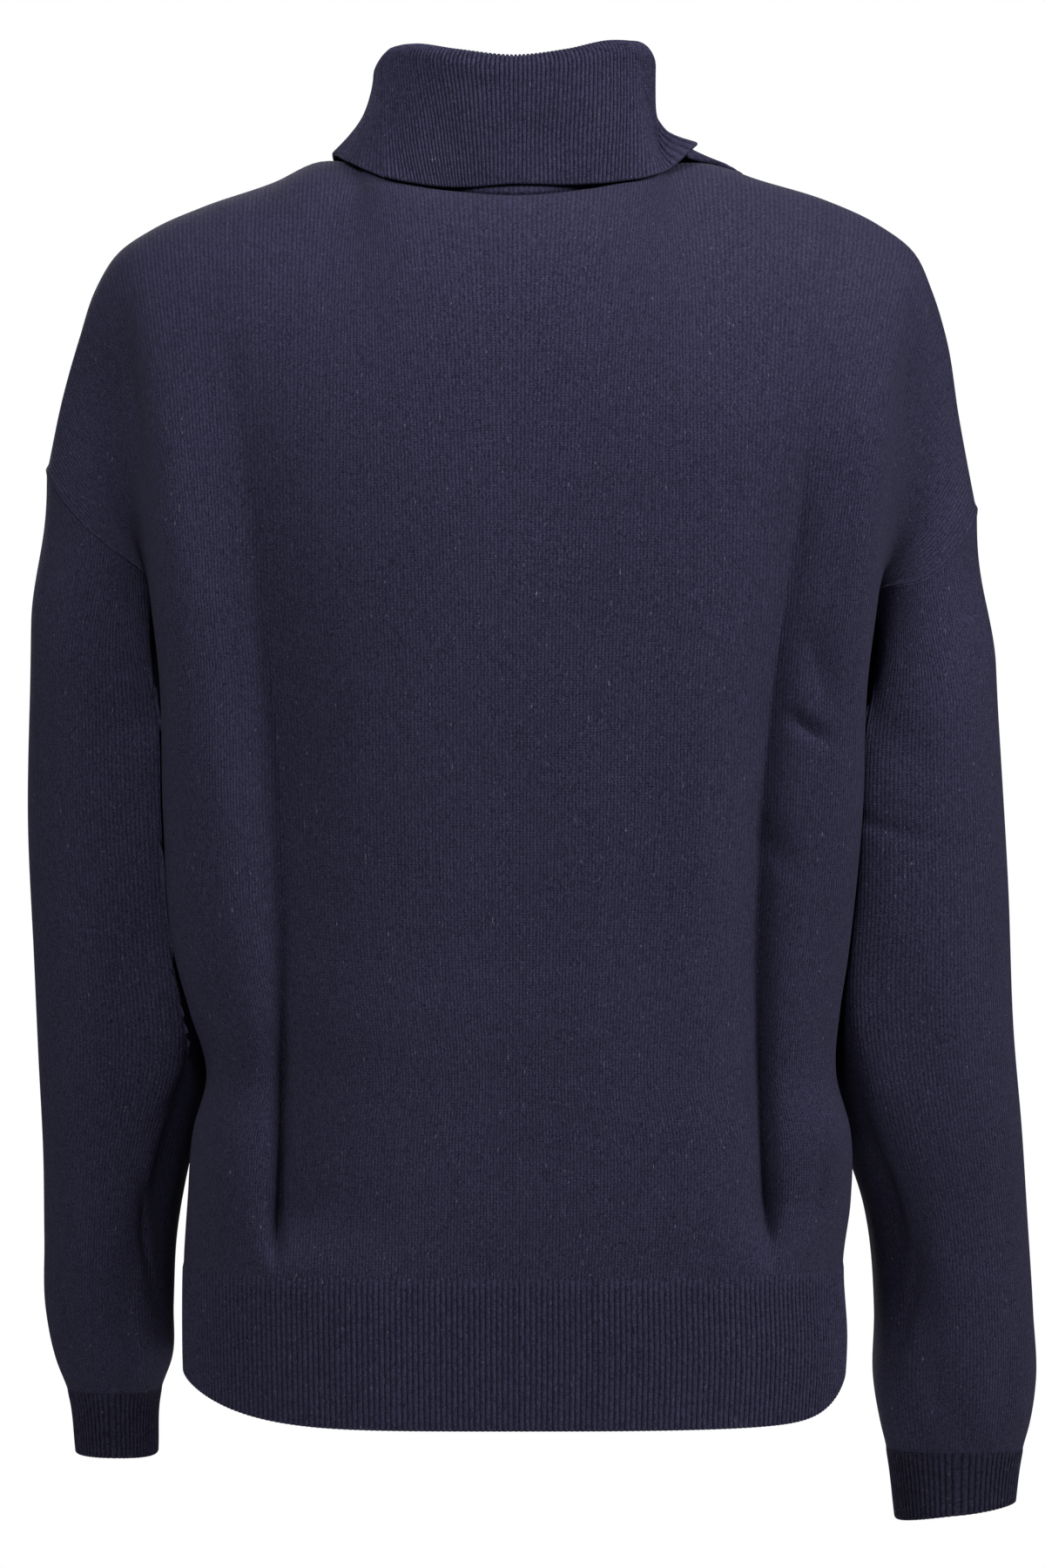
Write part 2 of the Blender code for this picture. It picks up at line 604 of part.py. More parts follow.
def collar_surface(angle, along):
    """The hidden side of the collar's cloth, between its two layers.

    Along 0 to STAND_END it stands up from the neckline, to FALL_START it rolls over in half
    a circle, and to 1 it comes down outside to the free hem, moving outwards by a power of
    its fall.
    """
    ring = neck_ring(angle) + np.array([0, 0, SEAM_GAP])
    fold = np.stack([collar_size(name, angle) for name in ("fold_x", "fold_y", "fold_z")], -1)
    hem = np.stack([collar_size(name, angle) for name in ("hem_x", "hem_y", "hem_z")], -1)
    outwards = unit(np.stack([np.cos(angle), np.sin(angle), np.zeros_like(angle)], -1))
    up = np.array([0.0, 0.0, 1.0])
    stand = np.clip(along / STAND_END, 0, 1)[..., None]
    roll = np.clip((along - STAND_END) / (FALL_START - STAND_END), 0, 1)[..., None] * math.pi
    fall = np.clip((along - FALL_START) / (1 - FALL_START), 0, 1)[..., None]
    inside = fold - outwards * FOLD_RADIUS
    outside = fold + outwards * FOLD_RADIUS
    flare = collar_size("flare", angle)[..., None] / MM
    standing = ring + (inside - ring) * stand
    rolling = fold - outwards * FOLD_RADIUS * np.cos(roll) + up * FOLD_RADIUS * np.sin(roll)
    reach = np.where(up > 0, fall, fall ** flare)
    falling = outside + (hem - outside) * reach
    along = along[..., None]
    return np.where(along <= STAND_END, standing, np.where(along < FALL_START, rolling, falling))


def shell_faces(outer_shape, inner_shape, ring):
    """Faces of a closed wall between two grids with equal rows.

    The outer grid may have several columns for each inner one. The faces are the two grids,
    the rims along the first and last rows, and the two sides where the wall isn't a ring.
    """
    rows, outer_columns = outer_shape
    inner_columns = inner_shape[1]
    outer_spans = outer_columns if ring else outer_columns - 1
    inner_spans = inner_columns if ring else inner_columns - 1
    group = outer_spans // inner_spans
    start = rows * outer_columns

    def outer(row, column):
        return row * outer_columns + column % outer_columns

    def inner(row, column):
        return start + row * inner_columns + column % inner_columns

    faces = []
    for row in range(rows - 1):
        for column in range(outer_spans):
            faces.append((outer(row, column), outer(row, column + 1),
                          outer(row + 1, column + 1), outer(row + 1, column)))
        for column in range(inner_spans):
            faces.append((inner(row, column + 1), inner(row, column),
                          inner(row + 1, column), inner(row + 1, column + 1)))
        if not ring:
            for column, other in ((0, 0), (outer_columns - 1, inner_columns - 1)):
                faces.append((outer(row, column), outer(row + 1, column),
                              inner(row + 1, other), inner(row, other)))
    for row in (0, rows - 1):
        for column in range(inner_spans):
            first = column * group
            half = first + group // 2
            for step in range(first, first + group):
                near = inner(row, column) if step < half else inner(row, column + 1)
                faces.append((outer(row, step + 1), outer(row, step), near))
            faces.append((inner(row, column), inner(row, column + 1), outer(row, half)))
    return faces


def add_wall(name, outer, inner, material, collection, ring=False):
    """One object from an outer and an inner grid of points, with its faces turned out."""
    points = np.concatenate([outer.reshape(-1, 3), inner.reshape(-1, 3)])
    mesh = bpy.data.meshes.new(name)
    mesh.from_pydata(points.tolist(), [], shell_faces(outer.shape[:2], inner.shape[:2], ring))
    work = bmesh.new()
    work.from_mesh(mesh)
    bmesh.ops.recalc_face_normals(work, faces=work.faces)
    if work.calc_volume(signed=True) < 0:
        bmesh.ops.reverse_faces(work, faces=work.faces)
    work.to_mesh(mesh)
    work.free()
    mesh.shade_smooth()
    mesh.set_sharp_from_angle(angle=math.radians(50))
    mesh.materials.append(material)
    piece = bpy.data.objects.new(name, mesh)
    collection.objects.link(piece)
    return piece


def collar_wall():
    """The collar: the seen side carries the ribs, from the roll along its top to its hem."""
    count = rib_steps(COLLAR_GIRTH, FINE_RIB_PITCH)
    roll_top = (STAND_END + FALL_START) / 2
    shares = np.array([0, STAND_END, roll_top, FALL_START, (1 + FALL_START) / 2, 1])

    def surface(columns):
        angle, along = np.meshgrid(np.linspace(0, 2 * math.pi, columns + 1)[:-1], shares)
        points = collar_surface(angle, along)
        return points, -grid_normals(points, ring=True)

    seen, normals = surface(count)
    ribbed = ease((shares - STAND_END) / (roll_top - STAND_END))[:, None, None]
    seen = seen + normals * (WALL + rib_wave(count)[None, :, None] * ribbed)
    hidden = surface(count // INNER_SHARE)[0]
    return seen, hidden


def cloth_material(name, colour):
    """Soft wool: a dark colour, rough and without metal."""
    material = bpy.data.materials.new(name)
    material.use_nodes = True
    shader = material.node_tree.nodes["Principled BSDF"]
    shader.inputs["Base Color"].default_value = colour
    shader.inputs["Roughness"].default_value = 0.9
    shader.inputs["Metallic"].default_value = 0.0
    return material


def clear_scene():
    for item in list(bpy.data.objects):
        bpy.data.objects.remove(item, do_unlink=True)


def build_sweater():
    """Make all pieces of the sweater."""
    clear_scene()
    collection = bpy.data.collections.new("roll_neck_sweater")
    bpy.context.scene.collection.children.link(collection)
    walls = panel_pair()
    for name, facing in (("back", 1), ("front", -1)):
        outer, inner = walls[facing]
        add_wall(name, outer, inner, cloth_material(name + "_knit", NAVY), collection)
        outer, inner = hem_wall(facing)
        add_wall("hem_rib_" + name, outer, inner,
                 cloth_material("hem_" + name + "_rib", RIB_NAVY), collection)
    for side in ("left", "right"):
        outer, inner = sleeve_wall(side)
        add_wall("sleeve_" + side, outer, inner,
                 cloth_material("sleeve_" + side + "_knit", NAVY), collection, ring=True)
        outer, inner = cuff_wall(side)
        add_wall("cuff_" + side, outer, inner,
                 cloth_material("cuff_" + side + "_rib", RIB_NAVY), collection, ring=True)
    outer, inner = collar_wall()
    add_wall("collar", outer, inner, cloth_material("collar_rib", RIB_NAVY), collection,
             ring=True)


build_sweater()
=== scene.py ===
"""Looks of a roll neck sweater, filled out as when worn: fine navy wool, ribbed at its edges.

Metres, +Z up. The garment's front faces -Y and its back +Y, the wearer's left is +X. Every
piece is a closed wall of knit between two grids of points, worked out from the same named
sizes as its solid, but finer, with its smaller folds, seams, ribs and rounded edges.
"""
import math

import bpy
import numpy as np
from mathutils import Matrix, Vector


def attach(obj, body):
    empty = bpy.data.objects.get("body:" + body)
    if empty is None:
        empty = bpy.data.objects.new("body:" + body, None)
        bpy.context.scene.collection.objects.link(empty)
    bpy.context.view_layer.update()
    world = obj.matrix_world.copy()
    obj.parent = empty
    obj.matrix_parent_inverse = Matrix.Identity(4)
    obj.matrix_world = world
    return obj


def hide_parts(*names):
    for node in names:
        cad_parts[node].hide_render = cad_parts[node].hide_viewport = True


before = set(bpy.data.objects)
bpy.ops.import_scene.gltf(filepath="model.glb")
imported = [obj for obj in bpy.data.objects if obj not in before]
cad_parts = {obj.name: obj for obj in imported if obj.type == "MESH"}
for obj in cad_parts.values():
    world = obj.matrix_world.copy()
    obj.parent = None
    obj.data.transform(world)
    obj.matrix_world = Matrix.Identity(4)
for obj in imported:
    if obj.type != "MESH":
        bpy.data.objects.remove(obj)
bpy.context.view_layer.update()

MM = 0.001
SIGN = {"left": 1, "right": -1}  # which way each side lies along X

# Cloth and seams.
WALL = 2.0 * MM                  # thickness of the knit
SEAM_GAP = 0.1 * MM              # room left between two sewn pieces
RIB_RISE = 0.5 * MM              # how far a rib stands over the wall
RIB_GROOVE = 0.3 * MM            # how far the cloth between two ribs lies under it
RIB_SQUARENESS = 2.5             # power of a rib's section, 2 is a parabola
HEM_RIB_START = 0.06             # share of a band over which its ribs rise from the join
CUFF_RIB_START = 0.10
EDGE_BEND = 0.7                  # how much of half the wall a free edge bends in
HEM_RIB_PITCH = 3.0 * MM
FINE_RIB_PITCH = 2.4 * MM        # of the collar and the cuffs
WALE_PITCH = 1.75 * MM           # from one column of stitches to the next on the plain knit
COURSE_PITCH = 1.3 * MM          # from one row of stitches to the next

# Low ridges of cloth beside the seams: how high, how far from the seam and how wide.
ARMHOLE_RIDGE = (0.9 * MM, 1.7 * MM, 1.3 * MM)
NECK_RIDGE = (0.5 * MM, 2.4 * MM, 1.3 * MM)
RIDGE_START = 20 * MM            # height over which the armhole's begins
RIDGE_FADE = 0.03                # share of half a panel over which the neck's ends

# Body: horizontal sections are superellipses round a line a little forward of the middle.
SIDE_Y = -15 * MM                # where the side seams and the shoulder seams lie
ROUNDNESS = 3.1
DENT_Y = -24 * MM                # the hanging sleeves press the sides in here
DENT_REACH = 40 * MM
DENT_END = 0.2                   # power of the cosine by which the dent ends at the middle
FLANK_Y = 64 * MM                # the full sides of the back hang over the sleeves here
FLANK_REACH = 18 * MM
FLANK_OUT = 5 * MM
FLANK_FOOT_Z = -500 * MM         # and grow out of the body from here up
FLANK_GROWTH = 100 * MM
UNDERARM_Z = -222 * MM
HEM_JOIN_Z = -551 * MM           # top of the hem rib
HEM_Z = -625.5 * MM              # its lower edge at the centre back
HEM_RISE = 20 * MM
HEM_CURVE = {"left": 5.5, "right": 18}
PANEL_HALF_WIDTH = 0.270         # cloth from the centre to a side seam

# Neck.
NECK_SHARE = 0.31                # part of half a panel's top edge that is neckline
NECK_X = 76 * MM
NECK_BACK_Y = 64 * MM
NECK_FRONT_Y = -86 * MM
NECK_SIDE_Z = 2 * MM
NECK_BACK_Z = -23 * MM
NECK_FRONT_Z = -58 * MM

# Armholes: the ring where a dropped sleeve is sewn on.
RING_EDGE = 0.90                 # from here out a panel's thickness turns to the armhole's
ARM_HALF_DEPTH = 60 * MM
ARM_SHARE = 0.30                 # outer part of a panel that wraps the upper arm
SEAM_SAG = {"left": 10 * MM, "right": 18 * MM}   # how far its ring hangs down at the back
SHOULDER_DRAW = 1.35             # how late a panel narrows over the underarm, as a power
SHOULDER_ROUND = 3               # how late its depth falls off there, as a power
CORNER_REACH = 0.16              # share of half a panel over which the neck's corner softens
CORNER_PLACES = 9                # how many places of the edge share in that
CORNER_FADE = 0.25               # share before a side seam over which it ends

# Body sections, in millimetres. The widths are taken from the middle to the left and right
# sides, the depths from SIDE_Y to the back and front.
BODY_COLUMNS = ("height", "left", "right", "back", "front", "left_dent", "right_dent")
BODY_ROWS = (
    (-626, 166, 166, 127, 88, 1, 1),
    (-590, 167, 168, 130, 90, 1, 1),
    (-551, 167.5, 167, 133, 92, 5, 4),
    (-520, 166, 171.5, 134, 97, 8, 8),
    (-485, 163, 171.5, 133, 98, 7, 9),
    (-458, 156, 164, 132, 98, 5, 6),
    (-425, 165, 166, 131, 98, 10, 8),
    (-397, 173, 170.5, 129, 98, 14, 11),
    (-330, 179, 178, 128, 98, 18, 16),
    (-258, 181, 181, 129, 98, 16, 16),
    (-222, 185, 185.5, 129.5, 98, 12, 12),
)

# The ridge of the shoulders, in millimetres: from the neck out to the sleeve seam.
SHOULDER_COLUMNS = ("left_x", "left_z", "right_x", "right_z")
SHOULDER_ROWS = (
    (76, 2, 76, 2),
    (98, 3, 98, 2),
    (121, -7.3, 124, -6.2),
    (157, -19.6, 158, -16.5),
    (183, -31, 185, -29),
    (201, -43.5, 203, -43),
    (212, -61, 212, -62),
    (220.5, -86, 219.5, -86),
    (229, -116, 226, -126),
    (237, -155, 235, -175),
)

# Sleeve sections, in millimetres: the side away from the body, the side towards it,
# the middle line's depth and the half depth.
SLEEVE_COLUMNS = ("height", "outer", "inner", "middle_y", "half_depth")
SLEEVE_ROWS = {
    "left": (
        (-155, 237, 176, -15, 60),
        (-202, 243, 172, -15, 60),
        (-264, 245, 162, -14, 58),
        (-330, 246, 158, -12, 55),
        (-400, 243, 154, -12, 52),
        (-450, 241, 150, -14, 50),
        (-500, 239, 164, -19, 47),
        (-543, 239, 172, -25, 44),
        (-579, 239, 174, -31, 40),
        (-606, 234, 175, -35, 36),
        (-623, 228, 181, -38, 30),
        (-655, 224, 183, -40, 29),
    ),
    "right": (
        (-175, 235, 176, -15, 60),
        (-224, 242, 172, -13, 61),
        (-278, 245, 162, -10, 61),
        (-366, 250, 158, -8, 58),
        (-437, 253, 156, -11, 54),
        (-490, 258, 166, -17, 50),
        (-527, 261, 178, -24, 46),
        (-581, 265, 184, -31, 42),
        (-617, 267, 184, -36, 38),
        (-640, 264, 188, -39, 32),
        (-652, 261, 191, -41, 28),
        (-689, 256, 196, -43, 26),
    ),
}
SLEEVE_END_Z = {"left": -621 * MM, "right": -652 * MM}
CUFF_END_Z = {"left": -655 * MM, "right": -689 * MM}
CUFF_SLANT = {"left": 1 * MM, "right": 9 * MM}
SLEEVE_ROUNDNESS = 2.4
INNER_FLATNESS = 1.8             # how much squarer it is above the wrist on the body's side
FLATNESS_FOOT_Z = -600 * MM      # and that begins here
FLATNESS_GROWTH = 200 * MM
SLEEVE_CLEARANCE = 1.2 * MM      # between a hanging sleeve and the body
SLEEVE_START = 0.16              # share of its length over which it takes its own section
CLEARANCE_START = 0.05           # share of its length over which it moves clear of the body
SOFT_TOUCH = 1.5 * MM            # how gently it bends where the body holds it off
FOLD_FADE = 0.4                  # a fold fades where a normal's share of depth is less
FOLD_EDGE = 0.94                 # and past this share of the way out to a side seam

# Long folds and small creases, in millimetres. A fold runs through three places, top, middle
# and bottom, as seen from behind or in front. It is a trough, "inner" wide towards the centre
# and "outer" wide towards the side, deepest at the share "peak" of its length from the top. A
# fold whose depth is negative stands out as a ridge. Its bottom is round where the power
# "round" is 2 and a sharp crease where it is near 1.
FOLD_COLUMNS = ("top_x", "top_z", "middle_x", "middle_z", "bottom_x", "bottom_z",
                "depth", "inner", "outer", "peak", "round")
BACK_FOLDS = (
    (147, -60, 116, -300, 116, -551, 18, 40, 18, 0.48, 1.30),     # long trough, left
    (147, -60, 116, -300, 116, -551, 17, 34, 7, 0.93, 1.15),      # its lower half
    (118, -300, 114, -420, 116, -551, 10, 2.6, 2.2, 0.90, 1.60),      # its crease
    (-165, -65, -124, -300, -126, -551, 14, 13, 15, 0.45, 1.25),  # long trough, right
    (-165, -65, -124, -300, -126, -551, 18, 13, 15, 0.92, 1.25),  # its lower half
    (-125, -300, -121, -430, -126, -551, 9, 3.0, 4.0, 0.90, 1.60),    # its crease
    (188, -50, 168, -230, 150, -440, -14, 22, 9, 0.40, 2.00),     # full side, left
    (-192, -50, -172, -230, -158, -440, -14, 17, 9, 0.40, 2.00),      # full side, right
    (146, -420, 148, -480, 152, -551, -6, 14, 12, 0.60, 2.00),
    (-156, -420, -160, -480, -160, -551, -6, 12, 12, 0.60, 2.00),
    (200, -46, 185, -145, 178, -214, 26, 5, 30, 0.45, 1.50),      # between arm and body, left
    (-205, -50, -190, -148, -182, -214, 24, 5, 28, 0.45, 1.50),   # between arm and body, right
    (-133, -272, -146, -287, -160, -298, 4.5, 5, 6, 0.50, 1.50),  # short creases, right
    (-142, -225, -150, -258, -158, -290, 3.0, 6, 8, 0.50, 1.50),
    (-118, -318, -128, -345, -140, -366, 3.0, 7, 9, 0.50, 1.60),
    (-153, -480, -149, -512, -137, -540, 4.0, 4, 8, 0.50, 1.50),  # above the hem, right
    (-146, -120, -140, -190, -136, -260, 2.0, 6, 8, 0.50, 1.50),  # beside the long trough
    (-100, -150, -96, -300, -104, -470, -1.2, 14, 12, 0.60, 2.00),
    (-70, -180, -66, -330, -74, -500, 1.0, 16, 16, 0.60, 2.00),
    (-40, -260, -38, -380, -44, -520, -0.7, 14, 14, 0.55, 2.00),
    (90, -170, 80, -330, 88, -480, -1.0, 14, 16, 0.55, 2.00),
    (160, -250, 150, -330, 150, -420, 1.2, 6, 8, 0.50, 2.00),
)
FRONT_FOLDS = (
    (140, -90, 112, -320, 114, -551, 8, 26, 9, 0.50, 1.25),
    (140, -90, 112, -320, 114, -551, 10, 24, 9, 0.92, 1.25),
    (-138, -100, -114, -320, -118, -551, 7, 24, 10, 0.50, 1.25),
    (-138, -100, -114, -320, -118, -551, 9, 24, 10, 0.92, 1.25),
    (114, -400, 112, -480, 115, -551, 5, 2.6, 3.0, 0.86, 1.60),
    (-114, -390, -113, -470, -118, -551, 5, 3.0, 3.0, 0.84, 1.60),
    (174, -120, 162, -290, 150, -450, -8, 18, 10, 0.50, 2.00),
    (-178, -120, -164, -290, -156, -450, -8, 16, 10, 0.50, 2.00),
    (195, -68, 183, -150, 178, -212, 14, 7, 22, 0.50, 1.50),
    (-200, -70, -188, -150, -182, -212, 14, 7, 22, 0.50, 1.50),
    (34, -120, 20, -200, 8, -330, 2, 22, 26, 0.40, 2.00),
    (-90, -190, -84, -330, -92, -480, -1.1, 14, 16, 0.55, 2.00),
    (84, -200, 80, -350, 88, -500, -1.0, 16, 14, 0.55, 2.00),
    (60, -150, 54, -250, 46, -360, 0.9, 14, 16, 0.50, 2.00),
    (-50, -140, -40, -240, -30, -350, 0.9, 16, 14, 0.50, 2.00),
    (150, -275, 138, -294, 122, -312, 2.8, 6, 7, 0.50, 1.60),
    (-148, -285, -136, -306, -120, -326, 2.6, 6, 7, 0.50, 1.60),
)

# Soft dents: where they lie round the piece, in degrees, and along it; their depth in
# millimetres; how many degrees wide and how long they are; and how many degrees they turn over
# their length. Round a sleeve the degrees run from the side away from the body over the back.
DENT_COLUMNS = ("turn", "along", "depth", "wide", "long", "twist")
SLEEVE_DENT_START = 0.05         # share of a sleeve over which its dents begin
SLEEVE_DENT_END = 0.03           # and end before the cuff
COLLAR_DENT_START = 0.15         # share of the fall over which the collar's begin
SLEEVE_DENTS = {
    "left": (
        (128, 0.10, 2.4, 16, 0.07, -40),
        (112, 0.17, 2.0, 13, 0.06, -46),
        (60, 0.34, 1.4, 20, 0.16, 20),
        (104, 0.44, 2.2, 15, 0.12, -28),
        (80, 0.62, 1.6, 17, 0.10, 30),
        (120, 0.78, 2.0, 14, 0.09, -26),
        (58, 0.90, 2.2, 12, 0.05, 14),
        (96, 0.93, 2.0, 11, 0.05, -12),
        (236, 0.12, 2.2, 16, 0.08, 40),
        (250, 0.42, 2.0, 16, 0.12, 28),
        (280, 0.66, 1.6, 16, 0.10, -28),
        (244, 0.86, 2.0, 13, 0.07, 22),
        (140, 0.68, 10.0, 26, 0.15, 0),
        (124, 0.80, 3.0, 7, 0.07, 30),
        (132, 0.60, 3.0, 7, 0.06, -36),
    ),
    "right": (
        (126, 0.09, 2.6, 15, 0.07, -42),
        (108, 0.16, 1.8, 13, 0.06, -44),
        (62, 0.30, 1.3, 20, 0.16, 18),
        (102, 0.47, 2.0, 15, 0.12, -26),
        (76, 0.66, 1.6, 17, 0.10, 28),
        (118, 0.80, 2.2, 14, 0.09, -24),
        (60, 0.92, 2.0, 12, 0.05, 14),
        (98, 0.94, 2.0, 11, 0.05, -12),
        (238, 0.11, 2.2, 16, 0.08, 40),
        (252, 0.44, 2.0, 16, 0.12, 26),
        (278, 0.68, 1.6, 16, 0.10, -26),
        (242, 0.88, 2.0, 13, 0.07, 22),
        (142, 0.70, 12.0, 26, 0.14, 0),
        (126, 0.82, 3.0, 7, 0.07, 30),
        (108, 0.27, 1.4, 9, 0.035, -70),
    ),
}

# Collar: the angle runs from the left side (0) over the back (90) and the right side (180)
# to the front (270). The fold is the middle of the roll along its top, the hem the free edge
# of the layer turned down, in millimetres. The layer falls straight where "flare" is 1, and
# hangs upright and kicks out at its foot where it is more.
COLLAR_COLUMNS = ("angle", "fold_x", "fold_y", "fold_z", "hem_x", "hem_y", "hem_z", "flare")
COLLAR_ROWS = (
    (0, 63, -2, 44.5, 83.5, 16, -0.5, 1.4),
    (20, 58.6, 16.5, 49, 64, 50.5, -12.5, 1.3),
    (40, 48, 34, 48.5, 44, 58.6, -17.3, 1.2),
    (65, 27.6, 50.4, 43.5, 24, 61.2, -18.6, 1),
    (90, 0, 56, 40, 0, 64, -17.2, 1),
    (115, -26.6, 51.4, 43.5, -28, 60.6, -17.2, 1),
    (135, -46, 38, 49.5, -49, 55.2, -15.5, 1.3),
    (152, -57.7, 23.3, 51.5, -67, 48.5, -12, 2),
    (163, -61.6, 11.6, 52.5, -79, 30, -5.5, 5),
    (172, -63.5, 3.8, 50.5, -92, 11, 8, 7),
    (181, -63.5, -6, 48.5, -88, -5, 4, 7),
    (190, -62.5, -13.7, 45.5, -108, -18, 0.5, 3.4),
    (199, -59.6, -21.5, 43.5, -123, -32, -8, 2.7),
    (212, -50.7, -32.2, 41.5, -115, -57, -18, 2),
    (235, -33.1, -46.8, 38.5, -84, -91, -43, 1.7),
    (270, 0, -56.5, 34.5, 0, -103, -72, 1.5),
    (305, 33.1, -46.8, 38.5, 58, -94, -46, 1.6),
    (330, 52.7, -31.2, 41.5, 87, -56, -5, 1.6),
    (346, 59.5, -16.6, 42.5, 91, -16, 6, 1.5),
)
FOLD_RADIUS = 5.5 * MM           # of the roll along the collar's top
STAND_END = 0.42                 # share of the collar's cloth that stands up from the neck
FALL_START = 0.58                # share from which it comes down outside
COLLAR_GIRTH = 0.46              # halfway between the roll and the hem
COLLAR_HEIGHT = 0.130            # cloth from the neckline to the free hem
COLLAR_SEAM = 20                 # degrees from the left side, where its ends are sewn together

# Changes of the collar's cloth: how much, where and how wide. The foot of the stand bulges out
# round an angle and at a share of its height. The ribs are higher at a share of the cloth, on
# the roll, and lower at some degrees from the seam, which has a groove and a lip beside it.
STAND_BULGE = (1.8 * MM, 96, 46)
BULGE_HEIGHT = (1, 0.045, 0.055)
BULGE_START = 0.02
ROLL_OPENING = (0.5, (STAND_END + FALL_START) / 2, 0.09)
SEAM_FLATNESS = (0.5, -10, 7)
SEAM_GROOVE = (1.1 * MM, 0, 0.8)
SEAM_LIP = (0.35 * MM, 2.2, 1.4)
COLLAR_DENTS = (                 # of the layer turned down
    (100, 0.60, 2.8, 20, 0.28, 0),
    (60, 0.45, 1.2, 12, 0.30, 0),
    (128, 0.50, -1.0, 12, 0.35, 0),
    (40, 0.70, -1.0, 10, 0.30, 0),
    (78, 0.20, 0.8, 14, 0.18, 0),
    (300, 0.55, 1.8, 14, 0.35, 0),
    (246, 0.60, 1.8, 14, 0.35, 0),
    (272, 0.80, -1.5, 16, 0.30, 0),
)

# Mesh density: columns and rows of the seen side, and how many of them share one inside.
PANEL_SPANS = 264
PANEL_LOWER_ROWS = 150
PANEL_UPPER_ROWS = 102
SLEEVE_SPANS = 168
SLEEVE_SPANS_LONG = 222
INSIDE_GROUP = 2                 # of the panels and sleeves
RIB_COLUMNS = 6                  # columns for each rib
HEM_SPANS_DOWN = 24
CUFF_SPANS_DOWN = 20
COLLAR_SPANS = (19, 12, 30)      # up the stand, over the roll and down the fall
STAND_CROWD = 1.6                # power by which the stand's rows crowd at its foot
EDGE_STEPS = 5                   # short rows round a free edge
FINE_PLACES = 4001               # where the length of a curve is measured
SHARP_EDGE = 60                  # degrees from which an edge is shown sharp

# Where a panel's columns crowd, at its folds and side seams: the share of the way from the
# centre to a side seam, how much denser they are there, and how far that reaches.
PANEL_CROWDS = ((0.49, 2.5, 0.025), (0.83, 1.4, 0.06), (1.0, 3.0, 0.012))
SLEEVE_CROWD = (0, 3.0, 0.01)    # the same for a sleeve's rows, at the armhole

# Tones of the wool, dark and light, and its finishes: the tones, the width of a wale, how much
# the stitches' legs show, their height, and how much painted shade darkens the grooves.
NAVY = ((0.0085, 0.0080, 0.0190, 1.0), (0.056, 0.053, 0.104, 1.0))
# Darker tones of the cuffs, about two thirds of the plain knit's, and darker grooves in their
# finish: painted shade, for cuffs that hang in shadow.
CUFF_SHADE_NAVY = ((0.0058, 0.0055, 0.0128, 1.0), (0.038, 0.036, 0.070, 1.0))
FLECK_COLOUR = (0.20, 0.195, 0.24, 1.0)
SHEEN_COLOUR = (0.55, 0.56, 0.75, 1.0)
FINISHES = {
    "navy_knit": (NAVY, WALE_PITCH, 0.5, 0.45 * MM, 0.45),
    "navy_collar_rib": (NAVY, FINE_RIB_PITCH, 0.4, 0.30 * MM, 0.5),
    "navy_cuff_rib_shaded": (CUFF_SHADE_NAVY, FINE_RIB_PITCH, 0.4, 0.40 * MM, 0.65),
    "navy_hem_rib": (NAVY, HEM_RIB_PITCH, 0.4, 0.30 * MM, 0.5),
}

# The lights: name, place, size and power in watts.
LIGHTS = (
    ("key_behind", (-1.3, 0.8, 0.9), 0.9, 40),
    ("fill_behind", (0.4, 0.8, 0.75), 0.9, 16),
    ("key_front", (0.4, -1.9, 0.5), 1.2, 45),
)
LIGHT_TARGET = (0.0, 0.0, -0.30)
WORLD_GLOW = 0.04                # what the white world lights the cloth with
CAMERA_PLACE = (-0.0044, 2.6, -0.3124)
CAMERA_LENS = 118.2
FLOOR_Z = -0.95
FLOOR_RADIUS = 1.45
FLOOR_COLOUR = (0.84, 0.84, 0.84, 1.0)


def table(columns, rows):
    """A short table as a dictionary of arrays, one for each named column."""
    return dict(zip(columns, np.array(rows, dtype=float).T))


BODY = table(BODY_COLUMNS, BODY_ROWS)
SHOULDER = table(SHOULDER_COLUMNS, SHOULDER_ROWS)
COLLAR = table(COLLAR_COLUMNS, COLLAR_ROWS)
SLEEVES = {side: table(SLEEVE_COLUMNS, rows[::-1]) for side, rows in SLEEVE_ROWS.items()}


# Shapes.

def smooth_curve(at, places, values):
    """Cubic Hermite curve through the values, with a weighted mean of both sides as its slope
    at each of them.
    """
    places = np.asarray(places, dtype=float)
    values = np.asarray(values, dtype=float)
    slopes = np.gradient(values, places)
    at = np.clip(at, places[0], places[-1])
    low = np.clip(np.searchsorted(places, at, side="right") - 1, 0, len(places) - 2)
    step = places[low + 1] - places[low]
    share = (at - places[low]) / step
    return (values[low] * (1 + 2 * share) * (1 - share) ** 2
            + slopes[low] * step * share * (1 - share) ** 2
            + values[low + 1] * share ** 2 * (3 - 2 * share)
            + slopes[low + 1] * step * share ** 2 * (share - 1))


def ease(share):
    """A share from 0 to 1 that starts and ends level: s squared times (3 - 2 s)."""
    share = np.clip(share, 0.0, 1.0)
    return share * share * (3 - 2 * share)


def bell(distance, width, power=2.0):
    """A bell that is 1 at no distance and falls off as exp of minus |distance/width| ** power."""
    return np.exp(-np.abs(distance / width) ** power)


def swelling(at, shape):
    """A change that is largest at its own place: its amount times a bell of its width."""
    amount, place, width = shape
    return amount * bell(at - place, width)


def unit(vectors):
    """The vectors divided by their lengths."""
    length = np.linalg.norm(vectors, axis=-1, keepdims=True)
    return vectors / np.maximum(length, 1e-12)


def running_length(steps):
    """The length along a line up to each of its places, from the lengths of its steps."""
    return np.concatenate([[0], np.cumsum(steps)])


def degrees_from(angle, middle):
    """How many degrees an angle in radians is past a middle in degrees, from -180 to 180."""
    return (np.degrees(angle) - middle + 180) % 360 - 180


def body_size(name, height):
    """One named size of the body's section at a height, from the table by a smooth curve."""
    return smooth_curve(height / MM, BODY["height"], BODY[name]) * MM


